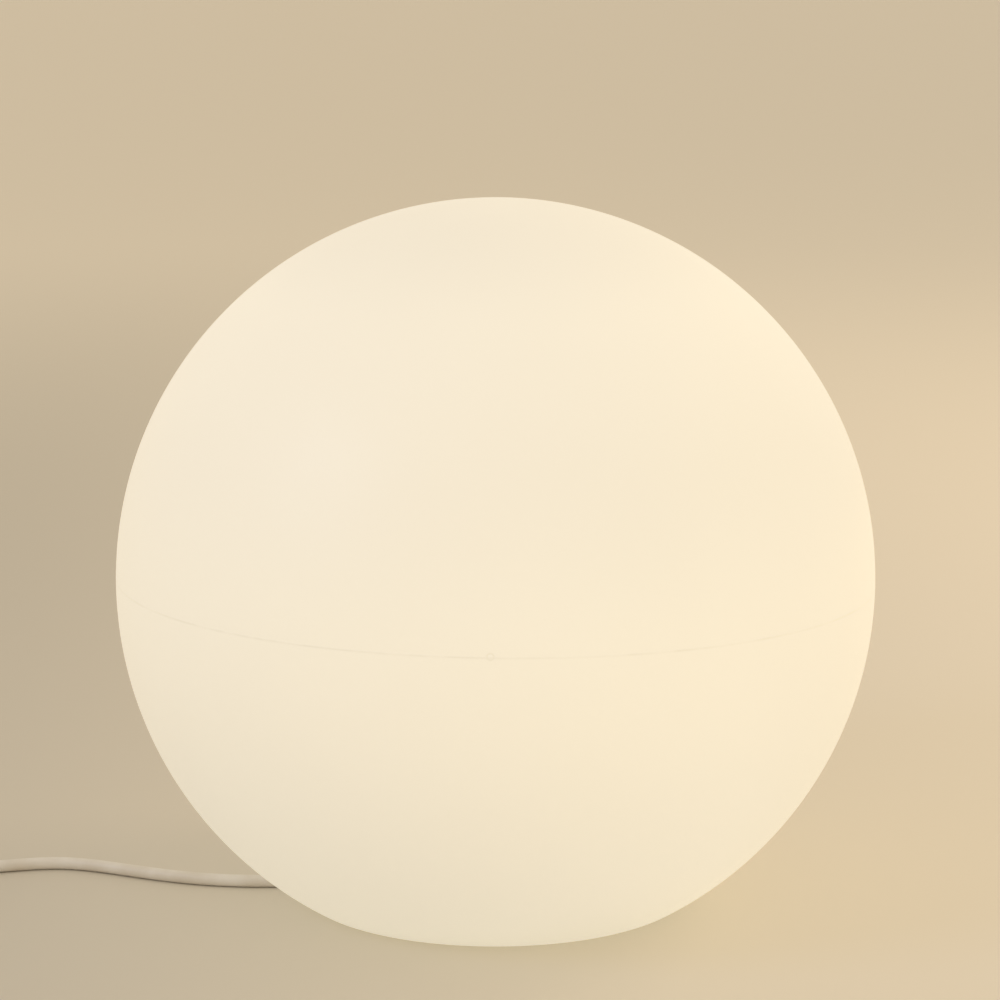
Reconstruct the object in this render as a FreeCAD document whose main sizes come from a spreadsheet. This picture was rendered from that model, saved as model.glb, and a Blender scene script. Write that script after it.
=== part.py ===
"""Garden globe light: an opal moulded ball on a flat foot, with the lamp inside it.

The origin is the middle of the foot, on the ground, +Z is up and -Y is the front.
All lengths are millimetres and all angles are degrees. The lamp unit fills the recess
in the foot: a carrier plate with the lampholder, held up by a bayonet locking ring,
and a wiring cover under it where the supply cord comes in through a gland.
"""
import FreeCAD, Part
import math
import os
import Sketcher
from FreeCAD import Placement, Rotation, Vector

# Driving sizes: every one is a cell of the sheet, under its own name.
SIZES = {
    # globe
    "ball_radius": 200,
    "ball_wall": 4,
    "foot_ring_width": 19.7,
    "seam_rise": 1.6,
    "seam_tilt": 0.7,
    "seam_height": 0.3,
    "seam_width": 1.2,
    # bayonet in the recess wall
    "lip_depth": 5,
    "lip_height": 4,
    "lip_angle": 36,
    "stop_angle": 3,
    "key_width": 10,
    "key_gap": 0.5,
    "key_depth": 5,
    "key_rib_width": 3,
    # cord way through the foot ring
    "groove_width": 10,
    "groove_height": 18,
    # locking ring
    "ring_width": 21,
    "ring_thickness": 4.4,
    "ring_gap": 0.3,
    "ring_side_gap": 1,
    "lug_angle": 30,
    "lug_gap": 1.3,
    "finger_rib_height": 12,
    "finger_rib_width": 4,
    "finger_rib_inset": 1.5,
    # carrier plate
    "flange_thickness": 3,
    "flange_side_gap": 3,
    "neck_margin": 6,
    "collar_gap": 1,
    "collar_wall": 2,
    "collar_height": 6,
    "dome_inset": 10,
    "dome_wall": 3,
    "dome_height": 28,
    "boss_radius": 4,
    "boss_height": 10,
    # gaskets
    "neck_gasket_thickness": 2,
    "neck_gasket_inset": 1,
    "cover_gasket_thickness": 1,
    # wiring cover
    "cover_radius": 46,
    "cover_wall": 2.5,
    "cover_depth": 25,
    "cover_clearance": 5,
    "cover_rim_width": 8,
    "cover_ring_gap": 3,
    # cover screws
    "cover_screw_radius": 1.75,
    "cover_screw_length": 14.5,
    "cover_screw_head": 3.5,
    "cover_screw_head_height": 2.2,
    "screw_hole_gap": 0.15,
    "slot_width": 0.8,
    "slot_depth": 1,
    # gland
    "gland_height": 11.5,
    "gland_pad": 2,
    "gland_pad_thickness": 8,
    "gland_pad_width": 20,
    "gland_pad_height": 21,
    "gland_thread_radius": 6,
    "gland_thread_inside": 14,
    "gland_thread_outside": 4,
    "gland_hex": 15,
    "gland_hex_height": 4,
    "gland_bore_gap": 0.1,
    "gland_nut_length": 12,
    "gland_nut_taper": 4,
    "gland_nut_end": 5,
    "gland_seal_radius": 5.5,
    "gland_seal_length": 5.5,
    "locknut_height": 4,
    # cord
    "cord_radius": 3.3,
    "cord_past_clamp": 6,
    # cord clamp
    "clamp_gland_gap": 2,
    "clamp_length": 8,
    "clamp_width": 26,
    "clamp_height": 8.3,
    "clamp_screw_radius": 1.5,
    "clamp_screw_head": 2.8,
    "clamp_screw_head_height": 2,
    "clamp_screw_depth": 11,
    "clamp_screw_inset": 4,
    # terminal block
    "terminal_length": 22,
    "terminal_width": 22,
    "terminal_height": 14.5,
    "terminal_offset": 9,
    "terminal_pitch": 10,
    "terminal_row": 12,
    "terminal_screw_radius": 1.9,
    "terminal_screw_length": 5,
    "terminal_well_depth": 7,
    "terminal_well_gap": 0.1,
    "terminal_entry": 5.5,
    "terminal_entry_depth": 6.5,
    "terminal_entry_gap": 0.3,
    "block_screw_head": 3,
    "block_screw_sink": 5,
    # wires
    "wire_radius": 1.1,
    # nipple and its nut
    "nipple_radius": 5,
    "nipple_bore": 3.5,
    "nipple_below": 10,
    "nipple_nut_size": 14,
    "nipple_nut_height": 4,
    # lampholder
    "holder_radius": 19.5,
    "holder_wall": 2.5,
    "holder_floor": 4,
    "holder_base_height": 16,
    "holder_sleeve_height": 32,
    "insert_thickness": 6,
    "insert_gap": 0.1,
    "insert_shoulder": 2,
    "insert_rise": 2,
    "shell_sleeve_gap": 0.7,
    "shell_length": 29,
    "contact_height": 4,
    "contact_radius": 2.5,
    "contact_strip_length": 14,
    "contact_strip_width": 5,
    "contact_strip_thickness": 0.6,
    "holder_screw_radius": 1.5,
    "holder_screw_head": 2.8,
    "holder_screw_head_height": 2.5,
    "holder_screw_depth": 5,
    "holder_screw_offset": 8,
    # lamp thread, both halves
    "thread_pitch": 3.629,
    "thread_crest": 13.15,
    "thread_root": 12.1,
    "thread_gap": 0.25,
    "thread_plate": 0.5,
    "thread_crest_width": 1,
    "thread_foot_width": 1.9,
    "thread_turns": 4,
    "socket_crest_width": 0.5,
    "socket_foot_width": 1.3,
    "socket_turns": 5,
    # lamp
    "tip_radius": 4.5,
    "tip_thickness": 1.5,
    "insulator_height": 4,
    "insulator_step": 1,
    "cap_inset": 1.6,
    "cap_rim": 0.6,
    "cap_length": 21.5,
    "thread_start": 3,
    "housing_plug": 8,
    "housing_radius": 30,
    "housing_height": 41,
    "housing_wall": 2,
    "housing_lip": 4,
    "led_board_inset": 4,
    "led_board_thickness": 1.6,
    "led_board_gap": 0.2,
    "led_board_seat": 2,
    "led_chip_length": 3.5,
    "led_chip_width": 2.8,
    "led_chip_thickness": 0.7,
    "led_chip_circle": 15,
    "driver_width": 22,
    "driver_thickness": 1.6,
    "capacitor_radius": 4,
    "capacitor_length": 12,
    "capacitor_rise": 7,
    "diffuser_lip": 0.5,
    "diffuser_wall": 1.5,
    # plug
    "relief_length": 30,
    "relief_start": 5,
    "relief_end": 7.5,
    "relief_groove": 1.2,
    "plug_half_height": 13,
    "plug_radius": 18,
    "plug_face_length": 14,
    "plug_grip_length": 22,
    "plug_grip_start": 9,
    "plug_grip_end": 15,
    "pin_radius": 2.4,
    "pin_length": 19,
    "pin_tip": 1,
    "pin_pitch": 19,
    # coil of the put-away cord
    "coil_inner_radius": 25,
    "coil_pitch": 8,
    "coil_layer_pitch": 7.3,
}

# Counts, each about the main axis unless its name says otherwise.
LIP_COUNT = 3
FINGER_RIB_ANGLES = (80, 200, 320)
COVER_SCREW_COUNT = 4
LED_CHIP_COUNT = 10
RELIEF_RIBS = 5
COIL_LAYERS = 4
COIL_QUARTERS = 11
COIL_LAST_QUARTERS = 12

# The lead's route after the gland, chosen point by point along the ground.
LEAD_ROUTE = (
    (-97, 0, 3.3),
    (-112, -1.4, 3.3),
    (-126, -2.2, 3.3),
    (-136, -1.8, 3.3),
    (-147, -0.6, 3.3),
    (-160, 1.9, 3.3),
    (-172, 5.6, 3.3),
    (-185, 10.7, 3.3),
    (-198, 16.4, 3.3),
    (-211, 22.6, 3.3),
    (-224, 27.9, 3.3),
    (-236, 31, 3.3),
    (-248, 30.9, 3.3),
    (-260, 28.4, 3.3),
    (-272, 24.9, 3.3),
    (-289, 21.9, 3.3),
    (-307, 21.2, 3.3),
    (-325, 22.6, 3.3),
    (-342, 25, 3.3),
)
GLAND_RUN = 10
COIL_START = (-356, 25, 3.3)
COIL_START_ANGLE = 90
TAIL_ROUTE = (
    (-405, -41.5, 25.2),
    (-403.5, -63.5, 21.5),
    (-400, -85.5, 16),
)
TAIL_LAST_RUN = 12
PLUG_PLACE = (-395.5, -115.5, 13)
PLUG_YAW = 10
RUN_SHARE = 0.45

doc = FreeCAD.newDocument("GardenGlobeLight")


class Size:
    """A length with its value now and the expression that ties it to the sheet."""

    def __init__(self, text, value):
        self.text = text
        self.value = float(value)

    def __add__(self, other):
        other = as_size(other)
        return Size("(%s + %s)" % (self.text, other.text), self.value + other.value)

    def __sub__(self, other):
        other = as_size(other)
        return Size("(%s - %s)" % (self.text, other.text), self.value - other.value)

    def __mul__(self, other):
        other = as_size(other)
        return Size("(%s * %s)" % (self.text, other.text), self.value * other.value)

    def __truediv__(self, other):
        other = as_size(other)
        return Size("(%s / %s)" % (self.text, other.text), self.value / other.value)

    def __radd__(self, other):
        return as_size(other) + self

    def __rsub__(self, other):
        return as_size(other) - self

    def __rmul__(self, other):
        return as_size(other) * self

    def __neg__(self):
        return as_size(0) - self


def as_size(number):
    """Turn a plain number into a Size, and leave a Size alone."""
    if isinstance(number, Size):
        return number
    return Size("(%r)" % float(number), number)


def root(size):
    """Square root of a Size."""
    return Size("sqrt(%s)" % size.text, math.sqrt(size.value))


def sine(degrees):
    """Sine of an angle in degrees."""
    return Size("sin(%s)" % as_size(degrees).text, math.sin(math.radians(as_size(degrees).value)))


def cosine(degrees):
    """Cosine of an angle in degrees."""
    return Size("cos(%s)" % as_size(degrees).text, math.cos(math.radians(as_size(degrees).value)))


def fill_sheet():
    """Write the driving sizes to the sheet and return each one as a Size."""
    sheet = doc.addObject("Spreadsheet::Sheet", "Sizes")
    sizes = {}
    for row, (name, value) in enumerate(SIZES.items(), start=1):
        cell = "A%d" % row
        sheet.set(cell, str(value))
        sheet.setAlias(cell, name)
        sizes[name] = Size("Sizes." + name, value)
    doc.recompute()
    return sizes


S = fill_sheet()
FLATS_TO_CORNER = 1 / math.sqrt(3)

# Heights, from the ground up.
COVER_BOTTOM = S["cover_clearance"]
COVER_FLOOR = COVER_BOTTOM + S["cover_wall"]
COVER_TOP = COVER_BOTTOM + S["cover_depth"]
FLANGE_BOTTOM = COVER_TOP + S["cover_gasket_thickness"]
FLANGE_TOP = FLANGE_BOTTOM + S["flange_thickness"]
LEDGE_BOTTOM = FLANGE_TOP + S["neck_gasket_thickness"]
LEDGE_TOP = LEDGE_BOTTOM + S["ball_wall"]
RING_TOP = FLANGE_BOTTOM - S["ring_gap"]
RING_BOTTOM = RING_TOP - S["ring_thickness"]
LIP_TOP = RING_BOTTOM - S["ring_gap"]
DOME_TOP = FLANGE_TOP + S["dome_height"]
INSERT_BOTTOM = DOME_TOP + S["holder_base_height"] + S["insert_rise"] - S["insert_thickness"]
INSERT_TOP = INSERT_BOTTOM + S["insert_thickness"]
TIP_BOTTOM = INSERT_TOP + S["contact_height"]
INSULATOR_BOTTOM = TIP_BOTTOM + S["tip_thickness"]
CAP_BOTTOM = INSULATOR_BOTTOM + S["insulator_height"]
CAP_TOP = CAP_BOTTOM + S["cap_length"]
HOUSING_TOP = CAP_TOP + S["housing_height"]
LED_SEAT = HOUSING_TOP - S["housing_lip"]
LED_TOP = LED_SEAT + S["led_board_thickness"]
GLAND_AXIS = COVER_BOTTOM + S["gland_height"]

# Radii, from the wiring cover outwards.
COVER_RIM = S["cover_radius"] + S["cover_rim_width"]
SCREW_CIRCLE = S["cover_radius"] + S["cover_rim_width"] / 2
DOME_RADIUS = S["cover_radius"] - S["dome_inset"]
NECK_RADIUS = COVER_RIM + S["neck_margin"]
RING_INNER = COVER_RIM + S["cover_ring_gap"]
RING_OUTER = RING_INNER + S["ring_width"]
LIP_RADIUS = RING_OUTER + S["ring_side_gap"]
RECESS_RADIUS = LIP_RADIUS + S["lip_depth"]
FLANGE_RADIUS = LIP_RADIUS - S["flange_side_gap"]
FOOT_RADIUS = RECESS_RADIUS + S["foot_ring_width"]
BALL_CENTRE = root(S["ball_radius"] * S["ball_radius"] - FOOT_RADIUS * FOOT_RADIUS)
SOCKET_ROOT = S["thread_crest"] + S["thread_gap"]
SOCKET_CREST = S["thread_root"] + S["thread_gap"]
SOCKET_OUTER = SOCKET_ROOT + S["thread_plate"]
SLEEVE_BORE = SOCKET_OUTER + S["shell_sleeve_gap"]
HOLDER_BORE = S["holder_radius"] - S["holder_wall"]
CAP_BORE = S["thread_root"] - S["thread_plate"]
LED_BOARD_RADIUS = S["housing_radius"] - S["led_board_inset"]
GLAND_FACE = S["cover_radius"] + S["gland_pad"]
GLAND_END = GLAND_FACE + S["gland_hex_height"] + S["gland_nut_length"]
CORD_BORE = S["cord_radius"] + S["gland_bore_gap"]
THREAD_START = CAP_BOTTOM + S["thread_start"]

# Places inside the wiring cover.
GLAND_PLACE = (-GLAND_FACE, 0, GLAND_AXIS)
CLEAR_OF_PAD = S["gland_pad_thickness"] - GLAND_FACE
CLAMP_BOTTOM = GLAND_AXIS - S["cord_radius"]
CLAMP_FAR_SIDE = GLAND_FACE - S["gland_thread_inside"] - S["clamp_gland_gap"]
CORD_INNER_LENGTH = GLAND_END - CLAMP_FAR_SIDE + S["clamp_length"] + S["cord_past_clamp"]
CLAMP_MIDDLE = S["clamp_length"] / 2 - CLAMP_FAR_SIDE
CLAMP_SCREW_OFFSET = S["clamp_width"] / 2 - S["clamp_screw_inset"]
CLAMP_SCREW_PLACES = (CLAMP_SCREW_OFFSET, -CLAMP_SCREW_OFFSET)
BLOCK_SCREW_SEAT = COVER_FLOOR + S["terminal_height"] - S["block_screw_sink"]
BLOCK_SCREW_END = COVER_BOTTOM + S["cover_wall"] / 4
TERMINAL_TOP = COVER_FLOOR + S["terminal_height"]
TERMINAL_ENTRY = COVER_FLOOR + S["terminal_entry"]
TERMINAL_NEAR = S["terminal_offset"] - S["terminal_length"] / 2
TERMINAL_FAR = S["terminal_offset"] + S["terminal_length"] / 2

ALONG_MINUS_X = Rotation(Vector(0, 1, 0), -90)
PLUG_TURN = Rotation(Vector(0, 0, 1), PLUG_YAW) * Rotation(Vector(1, 0, 0), 90)

# The finished sub-parts, in the order they are made.
sub_parts = []


def tie(obj, prop, length):
    """Give a property its value and, where the length comes from the sheet, its expression."""
    setattr(obj, prop, as_size(length).value)
    if isinstance(length, Size):
        obj.setExpression(prop, length.text)


def put(obj, at, turn=Rotation()):
    """Place an object, with each coordinate tied to the sheet where it comes from there."""
    obj.Placement = Placement(Vector(*[as_size(length).value for length in at]), turn)
    for axis, length in zip("xyz", at):
        if isinstance(length, Size):
            obj.setExpression("Placement.Base." + axis, length.text)
    return obj


def finished(obj, label):
    """Name a sub-part, which also names its file."""
    obj.Label = label
    sub_parts.append(obj)
    return obj


def origin_plane(body, role):
    """One of a body's own origin planes."""
    return next(plane for plane in body.Origin.OriginFeatures if plane.Role == role)


def new_sketch(body, role):
    """An empty sketch on one of the body's origin planes."""
    sketch = body.newObject("Sketcher::SketchObject", "Profile")
    sketch.AttachmentSupport = (origin_plane(body, role), [""])
    sketch.MapMode = "FlatFace"
    return sketch


def hold(sketch, kind, *which, length):
    """Add a dimension to a sketch and tie it to the sheet."""
    number = sketch.addConstraint(Sketcher.Constraint(kind, *which, as_size(length).value))
    if isinstance(length, Size):
        sketch.setExpression("Constraints[%d]" % number, length.text)


def draw_outline(sketch, points):
    """Draw a closed outline, with each corner dimensioned from the sketch's origin."""
    flat = [Vector(as_size(across).value, as_size(up).value, 0) for across, up in points]
    for start, end in zip(flat, flat[1:] + flat[:1]):
        sketch.addGeometry(Part.LineSegment(start, end), False)
    for line, (across, up) in enumerate(points):
        following = (line + 1) % len(points)
        sketch.addConstraint(Sketcher.Constraint("Coincident", line, 2, following, 1))
        hold(sketch, "DistanceX", -1, 1, line, 1, length=across)
        hold(sketch, "DistanceY", -1, 1, line, 1, length=up)


def revolve(body, sketch):
    """Turn a sketch once round the sketch's upright axis."""
    turn = body.newObject("PartDesign::Revolution", "Turned")
    turn.Profile = sketch
    turn.ReferenceAxis = (sketch, ["V_Axis"])
    turn.Angle = 360
    return turn


def turned(points, at=(0, 0, 0), turn=Rotation()):
    """A turned piece from its outline of (radius, height) corners."""
    body = doc.addObject("PartDesign::Body", "TurnedPiece")
    sketch = new_sketch(body, "XZ_Plane")
    draw_outline(sketch, points)
    revolve(body, sketch)
    return put(body, at, turn)


def footed_ball(radius, centre, floor):
    """A ball cut off flat at the floor height."""
    body = doc.addObject("PartDesign::Body", "FootedBall")
    sketch = new_sketch(body, "XZ_Plane")
    rise = centre.value - as_size(floor).value
    low = math.asin(-rise / radius.value)
    edge = Vector(radius.value * math.cos(low), as_size(floor).value, 0)
    base = Vector(0, as_size(floor).value, 0)
    middle = Vector(0, centre.value, 0)
    top = middle + Vector(0, radius.value, 0)
    circle = Part.Circle(middle, Vector(0, 0, 1), radius.value)
    sketch.addGeometry(Part.LineSegment(base, edge), False)
    sketch.addGeometry(Part.ArcOfCircle(circle, low, math.pi / 2), False)
    sketch.addGeometry(Part.LineSegment(top, base), False)
    sketch.addConstraint(Sketcher.Constraint("Coincident", 0, 2, 1, 1))
    sketch.addConstraint(Sketcher.Constraint("Coincident", 1, 2, 2, 1))
    sketch.addConstraint(Sketcher.Constraint("Coincident", 2, 2, 0, 1))
    hold(sketch, "DistanceX", -1, 1, 0, 1, length=0)
    hold(sketch, "DistanceY", -1, 1, 0, 1, length=floor)
    hold(sketch, "DistanceY", -1, 1, 0, 2, length=floor)
    hold(sketch, "DistanceX", -1, 1, 1, 3, length=0)
    hold(sketch, "DistanceY", -1, 1, 1, 3, length=centre)
    hold(sketch, "DistanceX", -1, 1, 1, 2, length=0)
    hold(sketch, "Radius", 1, length=radius)
    revolve(body, sketch)
    return body


def rod(radius, height, at=(0, 0, 0), turn=Rotation()):
    """A round rod that stands on the point given."""
    cylinder = doc.addObject("Part::Cylinder", "Rod")
    tie(cylinder, "Radius", radius)
    tie(cylinder, "Height", height)
    return put(cylinder, at, turn)


def cone(start, end, height, at=(0, 0, 0), turn=Rotation()):
    """A cone from its start radius to its end radius."""
    taper = doc.addObject("Part::Cone", "Taper")
    tie(taper, "Radius1", start)
    tie(taper, "Radius2", end)
    tie(taper, "Height", height)
    return put(taper, at, turn)


def block(lengths, at, turn=Rotation()):
    """A box from its three lengths and its lowest corner."""
    box = doc.addObject("Part::Box", "Block")
    for prop, length in zip(("Length", "Width", "Height"), lengths):
        tie(box, prop, length)
    return put(box, at, turn)


def hexagon(across, height, at=(0, 0, 0), turn=Rotation()):
    """A hexagonal bar from its size across flats."""
    bar = doc.addObject("Part::Prism", "Hexagon")
    bar.Polygon = 6
    tie(bar, "Circumradius", across * FLATS_TO_CORNER)
    tie(bar, "Height", height)
    return put(bar, at, turn)


def sector(inner, outer, height, bottom, width, middle):
    """A stretch of a ring: its radii, height, lowest level, width and middle angle."""
    slice_ = rod(outer, height, (0, 0, bottom))
    tie(slice_, "Angle", width)
    slice_.Placement = Placement(slice_.Placement.Base, Rotation())
    hole = rod(inner, height, (0, 0, bottom))
    stretch = cut(slice_, hole)
    start = as_size(middle) - as_size(width) / 2
    stretch.Placement = Placement(Vector(), Rotation(Vector(0, 0, 1), start.value))
    stretch.setExpression("Placement.Rotation.Angle", start.text)
    return stretch


def fuse(*shapes):
    """One solid from several that meet."""
    joined = doc.addObject("Part::MultiFuse", "Joined")
    joined.Shapes = list(shapes)
    return joined


def group(shapes):
    """Separate solids of one kind, kept together."""
    together = doc.addObject("Part::Compound", "Group")
    together.Links = list(shapes)
    return together


def cut(base, *tools):
    """The base with every tool taken out of it, one after another."""
    for tool in tools:
        result = doc.addObject("Part::Cut", "Cut")
        result.Base = base
        result.Tool = tool
        base = result
    return base


def common(base, tool):
    """What two shapes share."""
    result = doc.addObject("Part::Common", "Shared")
    result.Base = base
    result.Tool = tool
    return result


def polar(radius, angle, height):
    """A point from its radius, its angle in degrees and its height."""
    return (radius * cosine(angle), radius * sine(angle), height)


def screw(head, head_height, shank, length, at, turn=Rotation()):
    """A slotted screw: the head lies below the point given and the shank above it."""
    whole = fuse(
        rod(head, head_height, (0, 0, -head_height)),
        rod(shank, length),
    )
    slot = block((head * 2, S["slot_width"], S["slot_depth"]), (-head, -S["slot_width"] / 2, -head_height))
    return put(cut(whole, slot), at, turn)


# ---------------------------------------------------------------- globe

def globe_shell():
    """The moulded globe with its parting line, foot, recess, ledge, bayonet lips and cord way."""
    outside = footed_ball(S["ball_radius"], BALL_CENTRE, 0)
    inside = footed_ball(S["ball_radius"] - S["ball_wall"], BALL_CENTRE, S["ball_wall"])
    seam_start = S["seam_rise"] - S["seam_width"] / 2
    at = (seam_start * sine(S["seam_tilt"]), 0, BALL_CENTRE + seam_start * cosine(S["seam_tilt"]))
    tilt = Rotation(Vector(0, 1, 0), S["seam_tilt"].value)
    seam = rod(S["ball_radius"] + S["seam_height"], S["seam_width"], at, tilt)
    seam.setExpression("Placement.Rotation.Angle", S["seam_tilt"].text)

    half_wall = S["ball_wall"] / 2
    within_wall = footed_ball(S["ball_radius"] - half_wall, BALL_CENTRE, half_wall)
    way_width = S["groove_width"] + S["ball_wall"] * 2
    way_block = block(
        (S["ball_radius"], way_width, S["groove_height"] + half_wall),
        (-S["ball_radius"], -way_width / 2, half_wall),
    )
    groove = block(
        (S["ball_radius"] - LIP_RADIUS, S["groove_width"], S["groove_height"]),
        (-S["ball_radius"], -S["groove_width"] / 2, 0),
    )
    shell = cut(outside, inside)
    core = rod(RECESS_RADIUS + S["ball_wall"], LEDGE_TOP - half_wall, (0, 0, half_wall))
    recess = rod(RECESS_RADIUS, LEDGE_BOTTOM)
    neck = rod(NECK_RADIUS, LEDGE_TOP + S["ball_wall"])
    hollow = cut(fuse(shell, core, common(within_wall, way_block)), recess, neck, groove)
    moulded = fuse(hollow, *bayonet_lips(), *key_ribs())
    return finished(fuse(moulded, cut(seam, inside)), "globe_shell")


def bayonet_lips():
    """The lips that carry the locking ring, each with a stop at its end."""
    outer = RECESS_RADIUS + S["ball_wall"] / 2
    pieces = []
    for number in range(LIP_COUNT):
        middle = number * 360 / LIP_COUNT
        stop_middle = middle - (S["lip_angle"] + S["stop_angle"]) / 2
        stop_height = FLANGE_BOTTOM - LIP_TOP + S["lip_height"]
        lip_bottom = LIP_TOP - S["lip_height"]
        pieces.append(sector(LIP_RADIUS, outer, S["lip_height"], lip_bottom, S["lip_angle"], middle))
        pieces.append(sector(LIP_RADIUS, outer, stop_height, lip_bottom, S["stop_angle"], stop_middle))
    return pieces


def key_ribs():
    """Two ribs on the recess wall that keep the carrier plate from turning."""
    start = S["key_width"] / 2 + S["key_gap"]
    depth = RECESS_RADIUS - LIP_RADIUS + S["ball_wall"] / 2
    ribs = []
    for left in (start, -start - S["key_rib_width"]):
        lengths = (S["key_rib_width"], depth, LEDGE_BOTTOM - FLANGE_BOTTOM)
        ribs.append(block(lengths, (left, LIP_RADIUS, FLANGE_BOTTOM)))
    return ribs


# ---------------------------------------------------------------- lamp unit in the recess

def carrier_plate():
    """Flange, neck collar and dome in one moulding, with bosses for the cover screws."""
    dome_bore = DOME_RADIUS - S["dome_wall"]
    dome_ceiling = DOME_TOP - S["dome_wall"]
    collar = NECK_RADIUS - S["collar_gap"]
    collar_bore = collar - S["collar_wall"]
    collar_top = FLANGE_TOP + S["collar_height"]
    plate = turned([
        (dome_bore, FLANGE_BOTTOM),
        (FLANGE_RADIUS, FLANGE_BOTTOM),
        (FLANGE_RADIUS, FLANGE_TOP),
        (collar, FLANGE_TOP),
        (collar, collar_top),
        (collar_bore, collar_top),
        (collar_bore, FLANGE_TOP),
        (DOME_RADIUS, FLANGE_TOP),
        (DOME_RADIUS, DOME_TOP),
        (S["nipple_radius"], DOME_TOP),
        (S["nipple_radius"], dome_ceiling),
        (dome_bore, dome_ceiling),
    ])
    key_length = LIP_RADIUS - FLANGE_RADIUS + S["lip_depth"] / 2 + S["key_depth"]
    key_start = FLANGE_RADIUS - S["key_depth"]
    key = block(
        (S["key_width"], key_length, S["flange_thickness"]),
        (-S["key_width"] / 2, key_start, FLANGE_BOTTOM),
    )
    bosses = []
    holes = []
    hole_depth = S["cover_screw_length"] - S["cover_wall"] - S["cover_gasket_thickness"]
    for angle in cover_screw_angles():
        bosses.append(rod(S["boss_radius"], S["boss_height"], polar(SCREW_CIRCLE, angle, FLANGE_TOP)))
        holes.append(rod(S["cover_screw_radius"], hole_depth, polar(SCREW_CIRCLE, angle, FLANGE_BOTTOM)))
    return finished(cut(fuse(plate, key, *bosses), *holes), "carrier_plate")


def cover_screw_angles():
    """Angles of the cover screws: the cord side lies between two of them."""
    return [(number + 0.5) * 360 / COVER_SCREW_COUNT for number in range(COVER_SCREW_COUNT)]


def neck_gasket():
    """The flat seal between the flange and the ledge round the neck."""
    inner = NECK_RADIUS + S["neck_gasket_inset"]
    ring = turned([
        (inner, FLANGE_TOP),
        (FLANGE_RADIUS, FLANGE_TOP),
        (FLANGE_RADIUS, LEDGE_BOTTOM),
        (inner, LEDGE_BOTTOM),
    ])
    return finished(ring, "neck_gasket")


def locking_ring():
    """The bayonet ring that holds the carrier plate up, with lugs and finger ribs."""
    band = turned([
        (RING_INNER, RING_BOTTOM),
        (RING_OUTER, RING_BOTTOM),
        (RING_OUTER, RING_TOP),
        (RING_INNER, RING_TOP),
    ])
    lug_outer = RECESS_RADIUS - S["lug_gap"]
    pieces = [band]
    for number in range(LIP_COUNT):
        middle = number * 360 / LIP_COUNT
        inner = RING_OUTER - S["finger_rib_inset"]
        pieces.append(sector(inner, lug_outer, S["ring_thickness"], RING_BOTTOM, S["lug_angle"], middle))
    rib_length = S["ring_width"] - S["finger_rib_inset"] * 2
    rib_start = RING_INNER + S["finger_rib_inset"]
    for angle in FINGER_RIB_ANGLES:
        rib = block(
            (rib_length, S["finger_rib_width"], S["finger_rib_height"] + S["ring_thickness"] / 2),
            (rib_start, -S["finger_rib_width"] / 2, RING_BOTTOM - S["finger_rib_height"]),
        )
        holder = group([rib])
        holder.Placement = Placement(Vector(), Rotation(Vector(0, 0, 1), angle))
        pieces.append(holder)
    return finished(fuse(*pieces), "locking_ring")


def wiring_cover():
    """The cup under the lamp unit, with the gland's pad and the cord clamp's seat."""
    rim_bottom = COVER_TOP - S["cover_wall"]
    bore = S["cover_radius"] - S["cover_wall"]
    cup = turned([
        (0, COVER_BOTTOM),
        (S["cover_radius"], COVER_BOTTOM),
        (S["cover_radius"], rim_bottom),
        (COVER_RIM, rim_bottom),
        (COVER_RIM, COVER_TOP),
        (bore, COVER_TOP),
        (bore, COVER_FLOOR),
        (0, COVER_FLOOR),
    ])
    pad = block(
        (S["gland_pad_thickness"], S["gland_pad_width"], S["gland_pad_height"]),
        (-GLAND_FACE, -S["gland_pad_width"] / 2, COVER_BOTTOM),
    )
    seat = block(
        (S["clamp_length"], S["clamp_width"], CLAMP_BOTTOM - COVER_BOTTOM),
        (-CLAMP_FAR_SIDE, -S["clamp_width"] / 2, COVER_BOTTOM),
    )
    gland_hole = rod(
        S["gland_thread_radius"], S["gland_pad_thickness"], (CLEAR_OF_PAD, 0, GLAND_AXIS), ALONG_MINUS_X
    )
    holes = [gland_hole]
    hole_radius = S["cover_screw_radius"] + S["screw_hole_gap"]
    for angle in cover_screw_angles():
        holes.append(rod(hole_radius, S["cover_wall"], polar(SCREW_CIRCLE, angle, rim_bottom)))
    for across in CLAMP_SCREW_PLACES:
        top = CLAMP_BOTTOM + S["clamp_height"]
        holes.append(rod(
            S["clamp_screw_radius"], S["clamp_screw_depth"],
            (CLAMP_MIDDLE, across, top - S["clamp_screw_depth"]),
        ))
    holes.append(rod(
        S["clamp_screw_radius"], BLOCK_SCREW_SEAT - BLOCK_SCREW_END,
        (S["terminal_offset"], 0, BLOCK_SCREW_END),
    ))
    return finished(cut(fuse(cup, pad, seat), *holes), "wiring_cover")


def cover_gasket():
    """The flat seal between the cover's rim and the carrier plate."""
    inner = S["cover_radius"] - S["cover_wall"]
    ring = turned([
        (inner, COVER_TOP),
        (COVER_RIM, COVER_TOP),
        (COVER_RIM, FLANGE_BOTTOM),
        (inner, FLANGE_BOTTOM),
    ])
    hole_radius = S["cover_screw_radius"] + S["screw_hole_gap"]
    holes = [
        rod(hole_radius, S["cover_gasket_thickness"], polar(SCREW_CIRCLE, angle, COVER_TOP))
        for angle in cover_screw_angles()
    ]
    return finished(cut(ring, *holes), "cover_gasket")


def cover_screws():
    """The screws that hold the wiring cover to the carrier plate."""
    rim_bottom = COVER_TOP - S["cover_wall"]
    screws = [
        screw(
            S["cover_screw_head"], S["cover_screw_head_height"],
            S["cover_screw_radius"], S["cover_screw_length"],
            polar(SCREW_CIRCLE, angle, rim_bottom),
        )
        for angle in cover_screw_angles()
    ]
    return finished(group(screws), "cover_screws")


# ---------------------------------------------------------------- cord entry


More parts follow.
